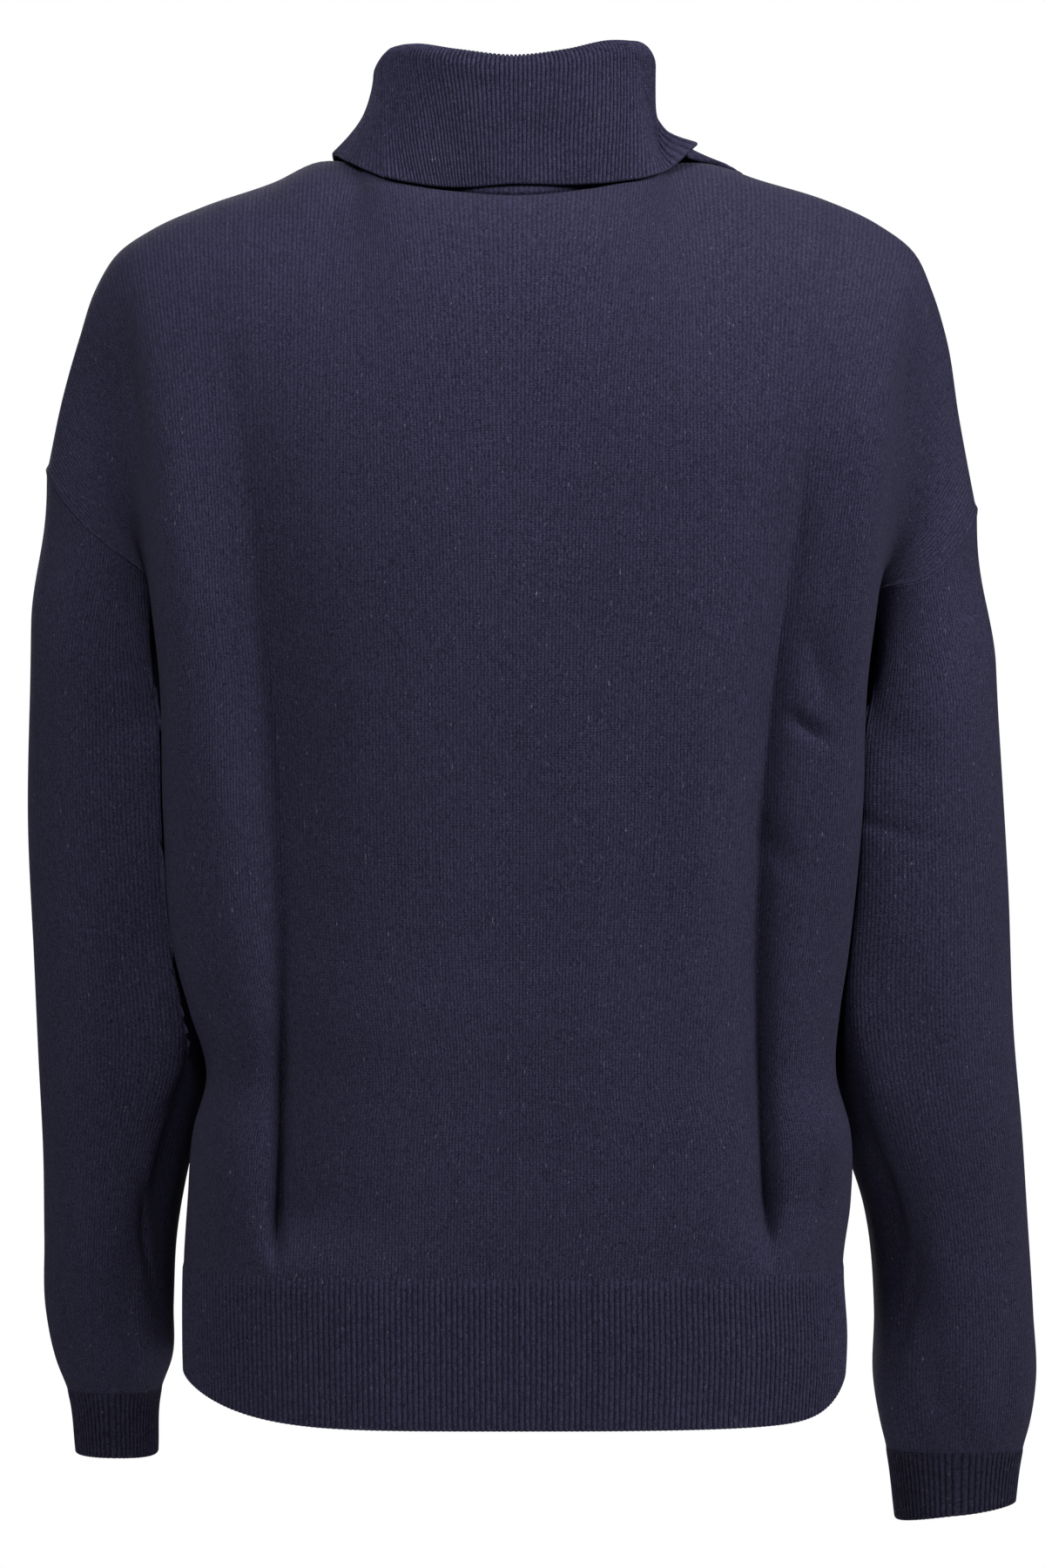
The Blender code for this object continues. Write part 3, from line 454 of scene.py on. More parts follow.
def body_section(angle, height):
    """Superellipse round the body: x = width * |cos| ** (2 / ROUNDNESS) with the sign of the
    cosine, y likewise with the depth and the sine. A bell round DENT_Y presses x in, and one
    round FLANK_Y pushes it out above the waist.
    """
    cosine, sine = np.cos(angle), np.sin(angle)
    width = np.where(cosine >= 0, body_size("left", height), body_size("right", height))
    dent = np.where(cosine >= 0, body_size("left_dent", height), body_size("right_dent", height))
    depth = np.where(sine >= 0, body_size("back", height), body_size("front", height))
    power = 2 / ROUNDNESS
    x = width * np.sign(cosine) * np.abs(cosine) ** power
    y = SIDE_Y + depth * np.sign(sine) * np.abs(sine) ** power
    x = x - np.sign(cosine) * dent * bell(y - DENT_Y, DENT_REACH) * np.abs(cosine) ** DENT_END
    flank = FLANK_OUT * bell(y - FLANK_Y, FLANK_REACH)
    flank = flank * ease((height - FLANK_FOOT_Z) / FLANK_GROWTH)
    x = x + flank * cosine
    return np.stack([x, y, np.broadcast_to(height, x.shape)], axis=-1)


def body_side(y, height, side):
    """How far the body reaches to one side at a depth and a height: the section solved for x."""
    depth = np.where(y >= SIDE_Y, body_size("back", height), body_size("front", height))
    share = np.clip(np.abs(y - SIDE_Y) / depth, 0, 1)
    reach = body_size(side, height) * (1 - share ** ROUNDNESS) ** (1 / ROUNDNESS)
    return reach - body_size(side + "_dent", height) * bell(y - DENT_Y, DENT_REACH)


def across_to_angle(across, facing):
    """The section angle at a share of the cloth from the centre, 0, to a side seam, -1 or 1:
    the arc length round the underarm's section, turned round by interpolation.
    """
    turns = np.linspace(0, math.pi, FINE_PLACES)
    loop = body_section(facing * turns, np.full_like(turns, UNDERARM_Z))
    length = running_length(np.linalg.norm(np.diff(loop, axis=0), axis=1))
    middle = np.interp(math.pi / 2, turns, length)
    shares = np.where(length < middle, 1 - length / middle,
                      -(length - middle) / (length[-1] - middle))
    return facing * np.interp(-across, -shares, turns)


def neckline(turn, facing):
    """The sewn neck edge: half an ellipse whose height falls with the sine to the power 1.5."""
    angle = turn * math.pi / 2
    centre_y, centre_z = ((NECK_BACK_Y, NECK_BACK_Z) if facing > 0
                          else (NECK_FRONT_Y, NECK_FRONT_Z))
    x = NECK_X * np.cos(angle)
    y = SIDE_Y + (centre_y - SIDE_Y) * np.sin(angle)
    z = NECK_SIDE_Z + (centre_z - NECK_SIDE_Z) * np.sin(angle) ** 1.5
    return x, y, z


def shoulder_ridge(share, side):
    """A place on the shoulder seam by its share of the seam's length, from the neck outwards."""
    x, z = SHOULDER[side + "_x"], SHOULDER[side + "_z"]
    length = running_length(np.hypot(np.diff(x), np.diff(z)))
    at = share * length[-1]
    return smooth_curve(at, length, x) * MM, smooth_curve(at, length, z) * MM


def top_edge(across, facing):
    """The upper edge of a panel: its neckline, then the shoulder seams out to the sleeves."""
    reach = np.abs(across)
    neck_x, neck_y, neck_z = neckline(np.clip(1 - reach / NECK_SHARE, 0, 1), facing)
    along = np.clip((reach - NECK_SHARE) / (1 - NECK_SHARE), 0, 1)
    left_x, left_z = shoulder_ridge(along, "left")
    right_x, right_z = shoulder_ridge(along, "right")
    on_neck = reach <= NECK_SHARE
    x = np.where(on_neck, neck_x, np.where(across >= 0, left_x, right_x))
    z = np.where(on_neck, neck_z, np.where(across >= 0, left_z, right_z))
    y = np.where(on_neck, neck_y, SIDE_Y)
    return np.stack([np.sign(across) * x, y, z], axis=-1)


def soft_top_edge(across, rise, facing):
    """The top edge as the cloth under it follows it: the mean over some places side by side,
    weighted by 1 + cos(0.9 * pi * shift). They close up to one at the edge itself, as
    1 - rise ** 5, and at the side seams.
    """
    near = np.clip((1 - np.abs(across)) / CORNER_FADE, 0, 1)
    reach = CORNER_REACH * (1 - rise ** 5) * near
    shifts = np.linspace(-1, 1, CORNER_PLACES)
    weights = 1 + np.cos(shifts * 0.9 * math.pi)
    places = [top_edge(across + reach * shift, facing) for shift in shifts]
    return sum(weight * place for weight, place in zip(weights / weights.sum(), places))


def upper_panel(across, rise, facing):
    """The panel over the underarm: the section there moves to the top edge with the rise, its
    depth falling off as sqrt(1 - rise ** 3). Its outer share bulges as half an ellipse and sags
    by 27 / 4 * rise ** 2 * (1 - rise).
    """
    low = body_section(across_to_angle(across, facing), np.full_like(across, UNDERARM_Z))
    top = soft_top_edge(across, rise, facing)
    x = low[..., 0] + (top[..., 0] - low[..., 0]) * rise ** SHOULDER_DRAW
    arm = np.clip((np.abs(across) - 1 + ARM_SHARE) / ARM_SHARE, 0, 1) ** 2
    sag = arm * np.where(across >= 0, SEAM_SAG["left"], SEAM_SAG["right"])
    z = low[..., 2] + (top[..., 2] - low[..., 2]) * rise - sag * 27 / 4 * rise ** 2 * (1 - rise)
    fullness = np.sqrt(np.clip(1 - rise ** SHOULDER_ROUND, 0, 1))
    y = (top[..., 1] + (low[..., 1] - top[..., 1]) * fullness
         + facing * ARM_HALF_DEPTH * arm * 2 * np.sqrt(np.clip(rise * (1 - rise), 0, 1)))
    return np.stack([x, y, z], axis=-1)


def fold_depth(x, z, folds):
    """The summed depth of all folds: across, a bell with its own width on either side of a
    parabola through the fold's three places; along, an eased rise to the peak and fall.
    """
    total = np.zeros_like(x)
    for row in folds:
        fold = dict(zip(FOLD_COLUMNS, row))
        heights = np.array([fold["bottom_z"], fold["middle_z"], fold["top_z"]]) * MM
        line = np.array([fold["bottom_x"], fold["middle_x"], fold["top_x"]]) * MM
        path = np.polyval(np.polyfit(heights, line, 2), z)
        down = np.clip((heights[2] - z) / (heights[2] - heights[0]), 0, 1)
        along = np.where(down < fold["peak"], ease(down / fold["peak"]),
                         ease((1 - down) / (1 - fold["peak"])))
        outwards = (x - path) * math.copysign(1, fold["middle_x"])
        width = np.where(outwards > 0, fold["outer"], fold["inner"]) * MM
        total += fold["depth"] * MM * along * bell(outwards, width, fold["round"])
    return total


def grid_normals(points, ring=False):
    """Unit cross products of a grid's differences along its rows and columns."""
    if ring:
        wrapped = np.concatenate([points[:, -1:], points, points[:, :1]], axis=1)
        across = np.gradient(wrapped, axis=1)[:, 1:-1]
    else:
        across = np.gradient(points, axis=1)
    return unit(np.cross(across, np.gradient(points, axis=0)))


def lengths_down(points):
    """For each point of a grid, the length of its column from the first row to it."""
    steps = np.linalg.norm(np.diff(points, axis=0), axis=-1)
    return np.concatenate([np.zeros((1, points.shape[1])), np.cumsum(steps, axis=0)])


def spread(count, crowds):
    """Places from 0 to 1, closer together at some: each crowd is (place, pull, reach)."""
    fine = np.linspace(0, 1, FINE_PLACES)
    density = np.ones_like(fine)
    for place, pull, reach in crowds:
        density += pull * bell(fine - place, reach)
    total = np.cumsum(density)
    return np.interp(np.linspace(total[0], total[-1], count + 1), total, fine)


def panel_columns():
    """Where a panel's columns lie, from 1 to -1, with one at each corner of the neck."""
    crowds = []
    for share, pull, reach in PANEL_CROWDS:
        crowds += [((1 - share) / 2, pull, reach), ((1 + share) / 2, pull, reach)]
    across = 1 - 2 * spread(PANEL_SPANS, crowds)
    for corner in (NECK_SHARE, 0.0, -NECK_SHARE):
        across[np.argmin(np.abs(across - corner))] = corner
    return across


def panel_surface(across, facing):
    """A whole panel, hem rib to shoulders, with its folds and creases pressed in along Y, and
    a low ridge of sewn cloth along its armholes and under the neckline. Over the underarm its
    rows rise by the mean of sin(s * pi / 2) and (1 - cos(s * pi)) / 2.
    """
    heights = np.linspace(HEM_JOIN_Z, UNDERARM_Z, PANEL_LOWER_ROWS + 1)[:-1]
    steps = np.linspace(0, 1, PANEL_UPPER_ROWS + 1)
    rises = (np.sin(steps * math.pi / 2) + (1 - np.cos(steps * math.pi)) / 2) / 2
    sides, levels = np.meshgrid(across, heights)
    lower = body_section(across_to_angle(sides, facing), levels)
    sides, levels = np.meshgrid(across, rises)
    points = np.concatenate([lower, upper_panel(sides, levels, facing)], axis=0)
    depth = fold_depth(points[..., 0], points[..., 2], BACK_FOLDS if facing > 0 else FRONT_FOLDS)
    reach = np.abs(across)
    normals = grid_normals(points) * facing
    depth *= 1 - ease((reach - FOLD_EDGE) / (1 - FOLD_EDGE))
    depth *= ease(np.abs(normals[..., 1]) / FOLD_FADE)
    depth[-1] = 0.0
    from_seam = (1 - reach) * PANEL_HALF_WIDTH
    upper = ease((points[..., 2] - UNDERARM_Z + RIDGE_START / 2) / RIDGE_START)
    ridge = swelling(from_seam, ARMHOLE_RIDGE) * upper
    down = lengths_down(points[::-1])[::-1]
    ridge += swelling(down, NECK_RIDGE) * (1 - ease((reach - NECK_SHARE) / RIDGE_FADE))
    return points + normals * ridge[..., None] - depth[..., None] * [0, facing, 0]


def armhole_outward(points, side):
    """At the sleeve seam both walls get their thickness straight away from the arm's middle."""
    top = np.array([SHOULDER[side + "_x"][-1], SIDE_Y / MM, SHOULDER[side + "_z"][-1]]) * MM
    low = np.array([body_side(np.array(SIDE_Y), np.array(UNDERARM_Z), side), SIDE_Y, UNDERARM_Z])
    top[0] *= SIGN[side]
    low[0] *= SIGN[side]
    axis = unit(np.cross(top - low, [0, SIGN[side], 0]))
    spokes = points - (top + low) / 2
    return unit(spokes - (spokes @ axis)[..., None] * axis)


def level(normals, row):
    """Turn the normals of one row level, so that a wall ends square at its seam."""
    normals[row] = unit(normals[row] * [1, 1, 0])


def pull_in(points, inner, rows, columns):
    """Draw the named edges of both surfaces back by half a seam's gap, along the cloth."""
    for surface in (points, inner):
        for row, towards in rows:
            surface[row] += unit(surface[towards] - surface[row]) * SEAM_GAP / 2
        for column, towards in columns:
            step = unit(surface[:, towards] - surface[:, column])
            surface[:, column] += step * SEAM_GAP / 2


def panel_pair():
    """The back and the front, which share the lines of their side and shoulder seams: outer
    and inner points, a wall apart along the normals, and the cloth's own coordinates.
    """
    across = panel_columns()
    outer = {facing: panel_surface(across, facing) for facing in (1, -1)}
    normals = {facing: grid_normals(outer[facing]) * facing for facing in (1, -1)}
    shared = unit(normals[1][:, [0, -1]] + normals[-1][:, [0, -1]])
    walls = {}
    for facing in (1, -1):
        own = normals[facing]
        own[:PANEL_LOWER_ROWS, [0, -1]] = shared[:PANEL_LOWER_ROWS]
        share = ease((np.abs(across) - RING_EDGE) / (1 - RING_EDGE))[None, :, None]
        for side, sign in SIGN.items():
            half = sign * across > 0
            ring = armhole_outward(outer[facing][PANEL_LOWER_ROWS:, half], side)
            blend = share[:, half]
            upper = own[PANEL_LOWER_ROWS:, half]
            own[PANEL_LOWER_ROWS:, half] = unit(upper * (1 - blend) + ring * blend)
        seam = np.abs(across) >= NECK_SHARE
        own[-1, seam] = unit(own[-1, seam] * [1, 0, 1])
        level(own, 0)
        inner = outer[facing] - own * WALL
        cloth = np.stack([np.broadcast_to((1 - across) * PANEL_HALF_WIDTH, outer[facing].shape[:2]),
                          lengths_down(outer[facing])], axis=-1)
        pull_in(outer[facing], inner, [(0, 1), (-1, -2)], [(0, 1), (-1, -2)])
        walls[facing] = (outer[facing], inner[::INSIDE_GROUP, ::INSIDE_GROUP], cloth)
    return walls


def sleeve_section(turn, z, side):
    """The superellipse of a sleeve or cuff at a height, as distances from the body's middle.
    Towards the body its roundness grows by INNER_FLATNESS, eased in over the turn and height.
    """
    sizes = SLEEVES[side]
    outer, inner, middle_y, half_depth = (
        smooth_curve(z / MM, sizes["height"], sizes[name]) * MM for name in SLEEVE_COLUMNS[1:])
    cosine, sine = np.cos(turn), np.sin(turn)
    above = ease((z - FLATNESS_FOOT_Z) / FLATNESS_GROWTH)
    flatter = INNER_FLATNESS * ease(-2 * cosine) * above
    power = 2 / (SLEEVE_ROUNDNESS + flatter)
    x = (outer + inner) / 2 + (outer - inner) / 2 * np.sign(cosine) * np.abs(cosine) ** power
    y = middle_y + half_depth * np.sign(sine) * np.abs(sine) ** power
    return x, y


def sleeve_surface(turn, along, side):
    """A sleeve from the slanting ring of the armhole, along 0, to its cuff, along 1: each
    point is eased from the ring to the sleeve's section, and a smooth maximum of x and the
    body's side keeps it clear.
    """
    rise = (1 + np.cos(turn)) / 2
    edge = np.full_like(turn, float(SIGN[side]))
    ring = np.where((np.sin(turn) >= 0)[..., None],
                    upper_panel(edge, rise, 1), upper_panel(edge, rise, -1))
    z = ring[..., 2] * (1 - along) + SLEEVE_END_Z[side] * along
    x, y = sleeve_section(turn, z, side)
    started = ease(along / SLEEVE_START)
    x = np.abs(ring[..., 0]) * (1 - started) + x * started
    y = ring[..., 1] * (1 - started) + y * started
    room = SEAM_GAP + SLEEVE_CLEARANCE * ease(along / CLEARANCE_START)
    wall_x = body_side(y, np.minimum(z, UNDERARM_Z), side) + room
    soft = SOFT_TOUCH * ease(along / (2 * CLEARANCE_START)) + 0.01 * MM
    x = (x + wall_x + np.sqrt((x - wall_x) ** 2 + soft ** 2)) / 2
    return np.stack([SIGN[side] * x, y, z], axis=-1)


def dent_depth(turn, along, dents):
    """The summed depth of soft dents: a bell round the piece times a bell along it, the
    middle turning with the distance along.
    """
    total = np.zeros_like(turn)
    for row in dents:
        dent = dict(zip(DENT_COLUMNS, row))
        away = along - dent["along"]
        middle = dent["turn"] + dent["twist"] * away / dent["long"] / 2
        round_it = degrees_from(turn, middle)
        total += dent["depth"] * MM * bell(round_it, dent["wide"]) * bell(away, dent["long"])
    return total


def sleeve_wall(side):
    """The outer and inner points of a sleeve and its cloth coordinates."""
    turns = np.linspace(0, 2 * math.pi, SLEEVE_SPANS + 1)[:-1]
    turn, along = np.meshgrid(turns, spread(SLEEVE_SPANS_LONG, [SLEEVE_CROWD]))
    outer = sleeve_surface(turn, along, side)
    normals = grid_normals(outer, ring=True) * -SIGN[side]
    depth = dent_depth(turn, along, SLEEVE_DENTS[side])
    depth *= ease(along / SLEEVE_DENT_START) * ease((1 - along) / SLEEVE_DENT_END)
    outer = outer - normals * depth[..., None]
    normals = grid_normals(outer, ring=True) * -SIGN[side]
    normals[0] = armhole_outward(outer[0], side)
    level(normals, -1)
    inner = outer - normals * WALL
    cloth = ring_cloth(outer, WALE_PITCH)
    pull_in(outer, inner, [(0, 1), (-1, -2)], [])
    return outer, inner[::INSIDE_GROUP, ::INSIDE_GROUP], cloth


def ring_cloth(points, pitch):
    """Cloth coordinates of a tube: round it the mean length of all rows' steps, brought to a
    whole number of pitches, and the length down.
    """
    steps = np.linalg.norm(np.roll(points, -1, axis=1) - points, axis=-1).mean(axis=0)
    across = running_length(steps)
    across *= round(across[-1] / pitch) * pitch / across[-1]
    down = lengths_down(points)
    down = np.concatenate([down, down[:, :1]], axis=1)
    return np.stack([np.broadcast_to(across, down.shape), down], axis=-1)


def rib_profile(count):
    """Heights of ribs over the wall, groove first: 1 - |2 s - 1| ** RIB_SQUARENESS over each
    rib's share s, scaled from the groove's depth up to the rise.
    """
    share = (np.arange(count) % RIB_COLUMNS) / RIB_COLUMNS
    return (RIB_RISE + RIB_GROOVE) * (1 - np.abs(2 * share - 1) ** RIB_SQUARENESS) - RIB_GROOVE


def rounded_edge(outer, inner, normals, inner_normals, from_edge):
    """Bend both sides of a wall towards its middle over the last half wall before a free edge:
    by EDGE_BEND of half the wall times (1 - sqrt(1 - t ** 2)), t growing to 1 at the edge.
    """
    near = np.clip(1 - from_edge / (WALL / 2), 0, 1)[:, None, None]
    bend = EDGE_BEND * WALL / 2 * (1 - np.sqrt(1 - near ** 2))
    return outer - normals * bend, inner + inner_normals * bend


def edge_steps(count, length):
    """Shares of a length from 0 to 1 in even steps, with short ones at the free edge that end
    as the sine does.
    """
    even = np.linspace(0, 1 - WALL / 2 / length, count - EDGE_STEPS + 1)
    turn = np.linspace(0, math.pi / 2, EDGE_STEPS + 1)[1:]
    return np.concatenate([even, even[-1] + (1 - even[-1]) * np.sin(turn)])


def ribbed_wall(surface, ribs, pitch, steps, length, start, facing, ring=False):
    """A band of ribs from its join down to its free edge: its outer and inner points and the
    cloth's coordinates. The surface gives the points for a number of columns, which are
    several to a rib outside and one inside. The ribs rise over the band's start.
    """
    def with_normals(columns):
        points = surface(columns)
        normals = grid_normals(points, ring) * -facing
        level(normals, 0)
        return points, normals

    count = ribs * RIB_COLUMNS
    seen, normals = with_normals(count)
    rise = ease(steps / start)[:, None, None]
    seen = seen + normals * rib_profile(seen.shape[1])[None, :, None] * rise
    plain, plain_normals = with_normals(ribs)
    outer, inner = rounded_edge(seen, plain - plain_normals * WALL, normals, plain_normals,
                                (1 - steps) * length)
    across = np.linspace(0, ribs * pitch, count + 1)
    cloth = np.stack(np.meshgrid(across, steps * length), axis=-1)
    pull_in(outer, inner, [(0, 1)], [] if ring else [(0, 1), (-1, -2)])
    return outer, inner, cloth


def cuff_wall(side):
    """A ribbed cuff: a short tube that carries the sleeve's section on down to its edge."""
    sizes = SLEEVES[side]
    girth = math.pi * ((sizes["outer"][0] - sizes["inner"][0]) / 2 + sizes["half_depth"][0]) * MM
    top = SLEEVE_END_Z[side]
    length = top - CUFF_END_Z[side]
    steps = edge_steps(CUFF_SPANS_DOWN, length)

    def surface(columns):
        turn, down = np.meshgrid(np.linspace(0, 2 * math.pi, columns + 1)[:-1], steps)
        foot = CUFF_END_Z[side] + CUFF_SLANT[side] * (1 + np.cos(turn)) / 2
        z = top + (foot - top) * down
        x, y = sleeve_section(turn, z, side)
        return np.stack([SIGN[side] * x, y, z], axis=-1)

    return ribbed_wall(surface, round(girth / FINE_RIB_PITCH), FINE_RIB_PITCH, steps, length,
                       CUFF_RIB_START, SIGN[side], ring=True)


def hem_wall(facing):
    """Half of the hem rib. Its lower edge rises towards the sides with a power of |x|."""
    length = HEM_JOIN_Z - HEM_Z
    steps = edge_steps(HEM_SPANS_DOWN, length)

    def surface(columns):
        across, down = np.meshgrid(np.linspace(1, -1, columns + 1), steps)
        angle = across_to_angle(across, facing)
        edge = body_section(angle, np.full_like(across, HEM_Z))[..., 0]
        width = np.where(edge >= 0, body_size("left", HEM_Z), body_size("right", HEM_Z))
        power = np.where(edge >= 0, HEM_CURVE["left"], HEM_CURVE["right"])
        foot = HEM_Z + HEM_RISE * (np.abs(edge) / width) ** power
        return body_section(angle, HEM_JOIN_Z + (foot - HEM_JOIN_Z) * down)

    return ribbed_wall(surface, round(2 * PANEL_HALF_WIDTH / HEM_RIB_PITCH), HEM_RIB_PITCH,
                       steps, length, HEM_RIB_START, facing)


def collar_size(name, angle):
    """One named size of the collar at an angle in radians, closed to a ring."""
    degrees = np.concatenate([COLLAR["angle"] - 360, COLLAR["angle"], COLLAR["angle"] + 360])
    return smooth_curve(np.degrees(angle) % 360, degrees, np.tile(COLLAR[name], 3)) * MM


def collar_line(name, angle):
    """The collar's fold or hem at an angle in radians."""
    return np.stack([collar_size(name + axis, angle) for axis in ("_x", "_y", "_z")], axis=-1)


def neck_ring(angle):
    """The neckline at an angle of the collar, from the panels' own neck edges."""
    turn = np.arcsin(np.clip(np.abs(np.sin(angle)), 0, 1)) / (math.pi / 2)
    across = np.sign(np.cos(angle)) * NECK_SHARE * (1 - turn)
    return np.where((np.sin(angle) >= 0)[..., None],
                    top_edge(across, 1), top_edge(across, -1))


def collar_surface(angle, along):
    """The hidden side of the collar's cloth: it stands up from the neckline to STAND_END,
    rolls over in half a circle to FALL_START, and falls outside to the free hem, moving
    outwards by a power of its fall, with soft dents along the outward direction. Its foot
    bulges out at the back by a bell round it times a bell up it.
    """
    ring = neck_ring(angle) + np.array([0, 0, SEAM_GAP])
    fold = collar_line("fold", angle)
    hem = collar_line("hem", angle)
    outwards = unit(np.stack([np.cos(angle), np.sin(angle), np.zeros_like(angle)], -1))
    up = np.array([0.0, 0.0, 1.0])
    stand = np.clip(along / STAND_END, 0, 1)[..., None]
    roll = np.clip((along - STAND_END) / (FALL_START - STAND_END), 0, 1)[..., None] * math.pi
    fall = np.clip((along - FALL_START) / (1 - FALL_START), 0, 1)[..., None]
    inside = fold - outwards * FOLD_RADIUS
    outside = fold + outwards * FOLD_RADIUS
    flare = collar_size("flare", angle)[..., None] / MM
    bulge = swelling(np.degrees(angle)[..., None], STAND_BULGE) * swelling(stand, BULGE_HEIGHT)
    bulge = bulge * ease(stand / BULGE_START)
    standing = ring + (inside - ring) * stand + outwards * bulge
    rolling = fold - outwards * FOLD_RADIUS * np.cos(roll) + up * FOLD_RADIUS * np.sin(roll)
    outward = fall ** flare
    falling = outside + (hem - outside) * np.concatenate([outward, outward, fall], axis=-1)
    dents = dent_depth(angle[..., None], fall, COLLAR_DENTS) * ease(fall / COLLAR_DENT_START)
    falling = falling - outwards * dents
    along = along[..., None]
    return np.where(along <= STAND_END, standing, np.where(along < FALL_START, rolling, falling))


def collar_wall():
    """The collar. The seen side carries the ribs from the neckline over the roll to its hem.
    They open on the roll, and flatten beside the sewn groove where the two ends meet.
    """
    ribs = round(COLLAR_GIRTH / FINE_RIB_PITCH)
    count = ribs * RIB_COLUMNS
    up, over, down = COLLAR_SPANS
    fall_steps = edge_steps(down, COLLAR_HEIGHT * (1 - FALL_START))
    shares = np.concatenate([STAND_END * np.linspace(0, 1, up + 1)[:-1] ** STAND_CROWD,
                             np.linspace(STAND_END, FALL_START, over + 1)[:-1],
                             FALL_START + (1 - FALL_START) * fall_steps])

    def surface(columns):
        angle, along = np.meshgrid(np.linspace(0, 2 * math.pi, columns + 1)[:-1], shares)
        points = collar_surface(angle, along)
        return angle, points, -grid_normals(points, ring=True)

    angle, seen, normals = surface(count)
    from_seam = degrees_from(angle, COLLAR_SEAM)
    height = np.broadcast_to(rib_profile(count), angle.shape).copy()
    height *= 1 - swelling(from_seam, SEAM_FLATNESS)
    height *= 1 + swelling(shares, ROLL_OPENING)[:, None]
    height -= swelling(from_seam, SEAM_GROOVE)
    height += swelling(from_seam, SEAM_LIP)
    seen = seen + normals * (WALL + height)[..., None]
    _, hidden, hidden_normals = surface(ribs)
    from_edge = (1 - shares) * COLLAR_HEIGHT
    seen, hidden = rounded_edge(seen, hidden, normals, hidden_normals, from_edge)
    across = np.linspace(0, ribs * FINE_RIB_PITCH, count + 1)
    cloth = np.stack(np.meshgrid(across, shares * COLLAR_HEIGHT), axis=-1)
    return seen, hidden, cloth


# Meshes.

def numbered_corners(shape, ring, start, width, group):
    """For every corner of a grid, the number of its point and that of its cloth coordinates.
    An inner grid takes those of the outer corners that it lies under. The last column of a
    ring has the first one's points, but coordinates of its own.
    """
    rows, columns = shape
    row, column = np.meshgrid(np.arange(rows), np.arange(columns + ring), indexing="ij")
    return np.stack([start + row * columns + column % columns,
                     row * group[0] * width + column * group[1]], axis=-1)


def grid_faces(corners):
    """The four-cornered faces between a grid's corners."""
    faces = [corners[:-1, :-1], corners[:-1, 1:], corners[1:, 1:], corners[1:, :-1]]
    return np.stack(faces, axis=2).reshape(-1, 4, 2)


def rim_faces(outer, inner, group):
    """Triangles between an outer edge and an inner one with group times fewer steps: each
    outer step meets the nearer inner point, and each inner step the outer one at its middle.
    """
    step = np.arange(outer.shape[0] - 1)
    near = step // group + (step % group >= group // 2)
    fans = np.stack([outer[step + 1], outer[step], inner[near]], axis=1)
    part = np.arange(inner.shape[0] - 1)
    closers = np.stack([inner[part], inner[part + 1], outer[part * group + group // 2]], axis=1)
    return np.concatenate([fans, closers])


def wall_faces(outer_shape, inner_shape, ring):
    """All faces of a closed wall between two grids: both sides with four corners each, and
    the rims along their edges with three.
    """
    width = outer_shape[1] + ring
    group = [(many - 1 + closed) // (few - 1 + closed)
             for many, few, closed in zip(outer_shape, inner_shape, (False, ring))]
    outer = numbered_corners(outer_shape, ring, 0, width, (1, 1))
    inner = numbered_corners(inner_shape, ring, outer_shape[0] * outer_shape[1], width, group)
    quads = np.concatenate([grid_faces(outer), grid_faces(inner)[:, ::-1]])
    rims = [rim_faces(outer[0], inner[0], group[1]),
            rim_faces(outer[-1], inner[-1], group[1])[:, ::-1]]
    if not ring:
        rims += [rim_faces(outer[:, 0], inner[:, 0], group[0])[:, ::-1],
                 rim_faces(outer[:, -1], inner[:, -1], group[0])]
    return quads, np.concatenate(rims)


def signed_volume(points, quads, triangles):
    """The volume that faces turned outwards enclose: a sixth of the sum of triple products."""
    faces = np.concatenate([quads[:, :3], quads[:, [0, 2, 3]], triangles])
    a, b, c = (points[faces[:, corner]] for corner in range(3))
    return np.einsum("ij,ij->i", a, np.cross(b, c)).sum() / 6


def add_wall(name, outer, inner, cloth, material, ring=False):
    """A closed smooth wall of knit from its two grids, with the cloth's coordinates as its UV
    map. Its faces are turned over where they would enclose a negative volume.
    """
    points = np.concatenate([outer.reshape(-1, 3), inner.reshape(-1, 3)])
    quads, triangles = wall_faces(outer.shape[:2], inner.shape[:2], ring)
    if signed_volume(points, quads[..., 0], triangles[..., 0]) < 0:
        quads, triangles = quads[:, ::-1], triangles[:, ::-1]
    corners = np.concatenate([quads.reshape(-1, 2), triangles.reshape(-1, 2)])
    sizes = np.repeat([4, 3], [len(quads), len(triangles)])
    mesh = bpy.data.meshes.new(name)
    mesh.vertices.add(len(points))
    mesh.vertices.foreach_set("co", points.astype(np.float32).ravel())
    mesh.loops.add(len(corners))
    mesh.loops.foreach_set("vertex_index", corners[:, 0].astype(np.int32))
    mesh.polygons.add(len(sizes))
    mesh.polygons.foreach_set("loop_start", (np.cumsum(sizes) - sizes).astype(np.int32))
    mesh.polygons.foreach_set("use_smooth", np.ones(len(sizes), dtype=bool))
    mesh.update(calc_edges=True)
    mesh.materials.append(material)
    layer = mesh.uv_layers.new(name="cloth")
    layer.data.foreach_set("uv", cloth.reshape(-1, 2)[corners[:, 1]].astype(np.float32).ravel())
    mesh.set_sharp_from_angle(angle=math.radians(SHARP_EDGE))
    piece = bpy.data.objects.new(name, mesh)
    bpy.context.scene.collection.objects.link(piece)
    return piece


# Materials.

def new_group(name, inputs, outputs):
    """An empty shader node group with number inputs and outputs, and its two end nodes."""
    group = bpy.data.node_groups.new(name, "ShaderNodeTree")
    for label, value in inputs:
        item = group.interface.new_socket(label, in_out="INPUT", socket_type="NodeSocketFloat")
        item.default_value = value
    for label in outputs:
        group.interface.new_socket(label, in_out="OUTPUT", socket_type="NodeSocketFloat")
    return group, group.nodes.new("NodeGroupInput"), group.nodes.new("NodeGroupOutput")


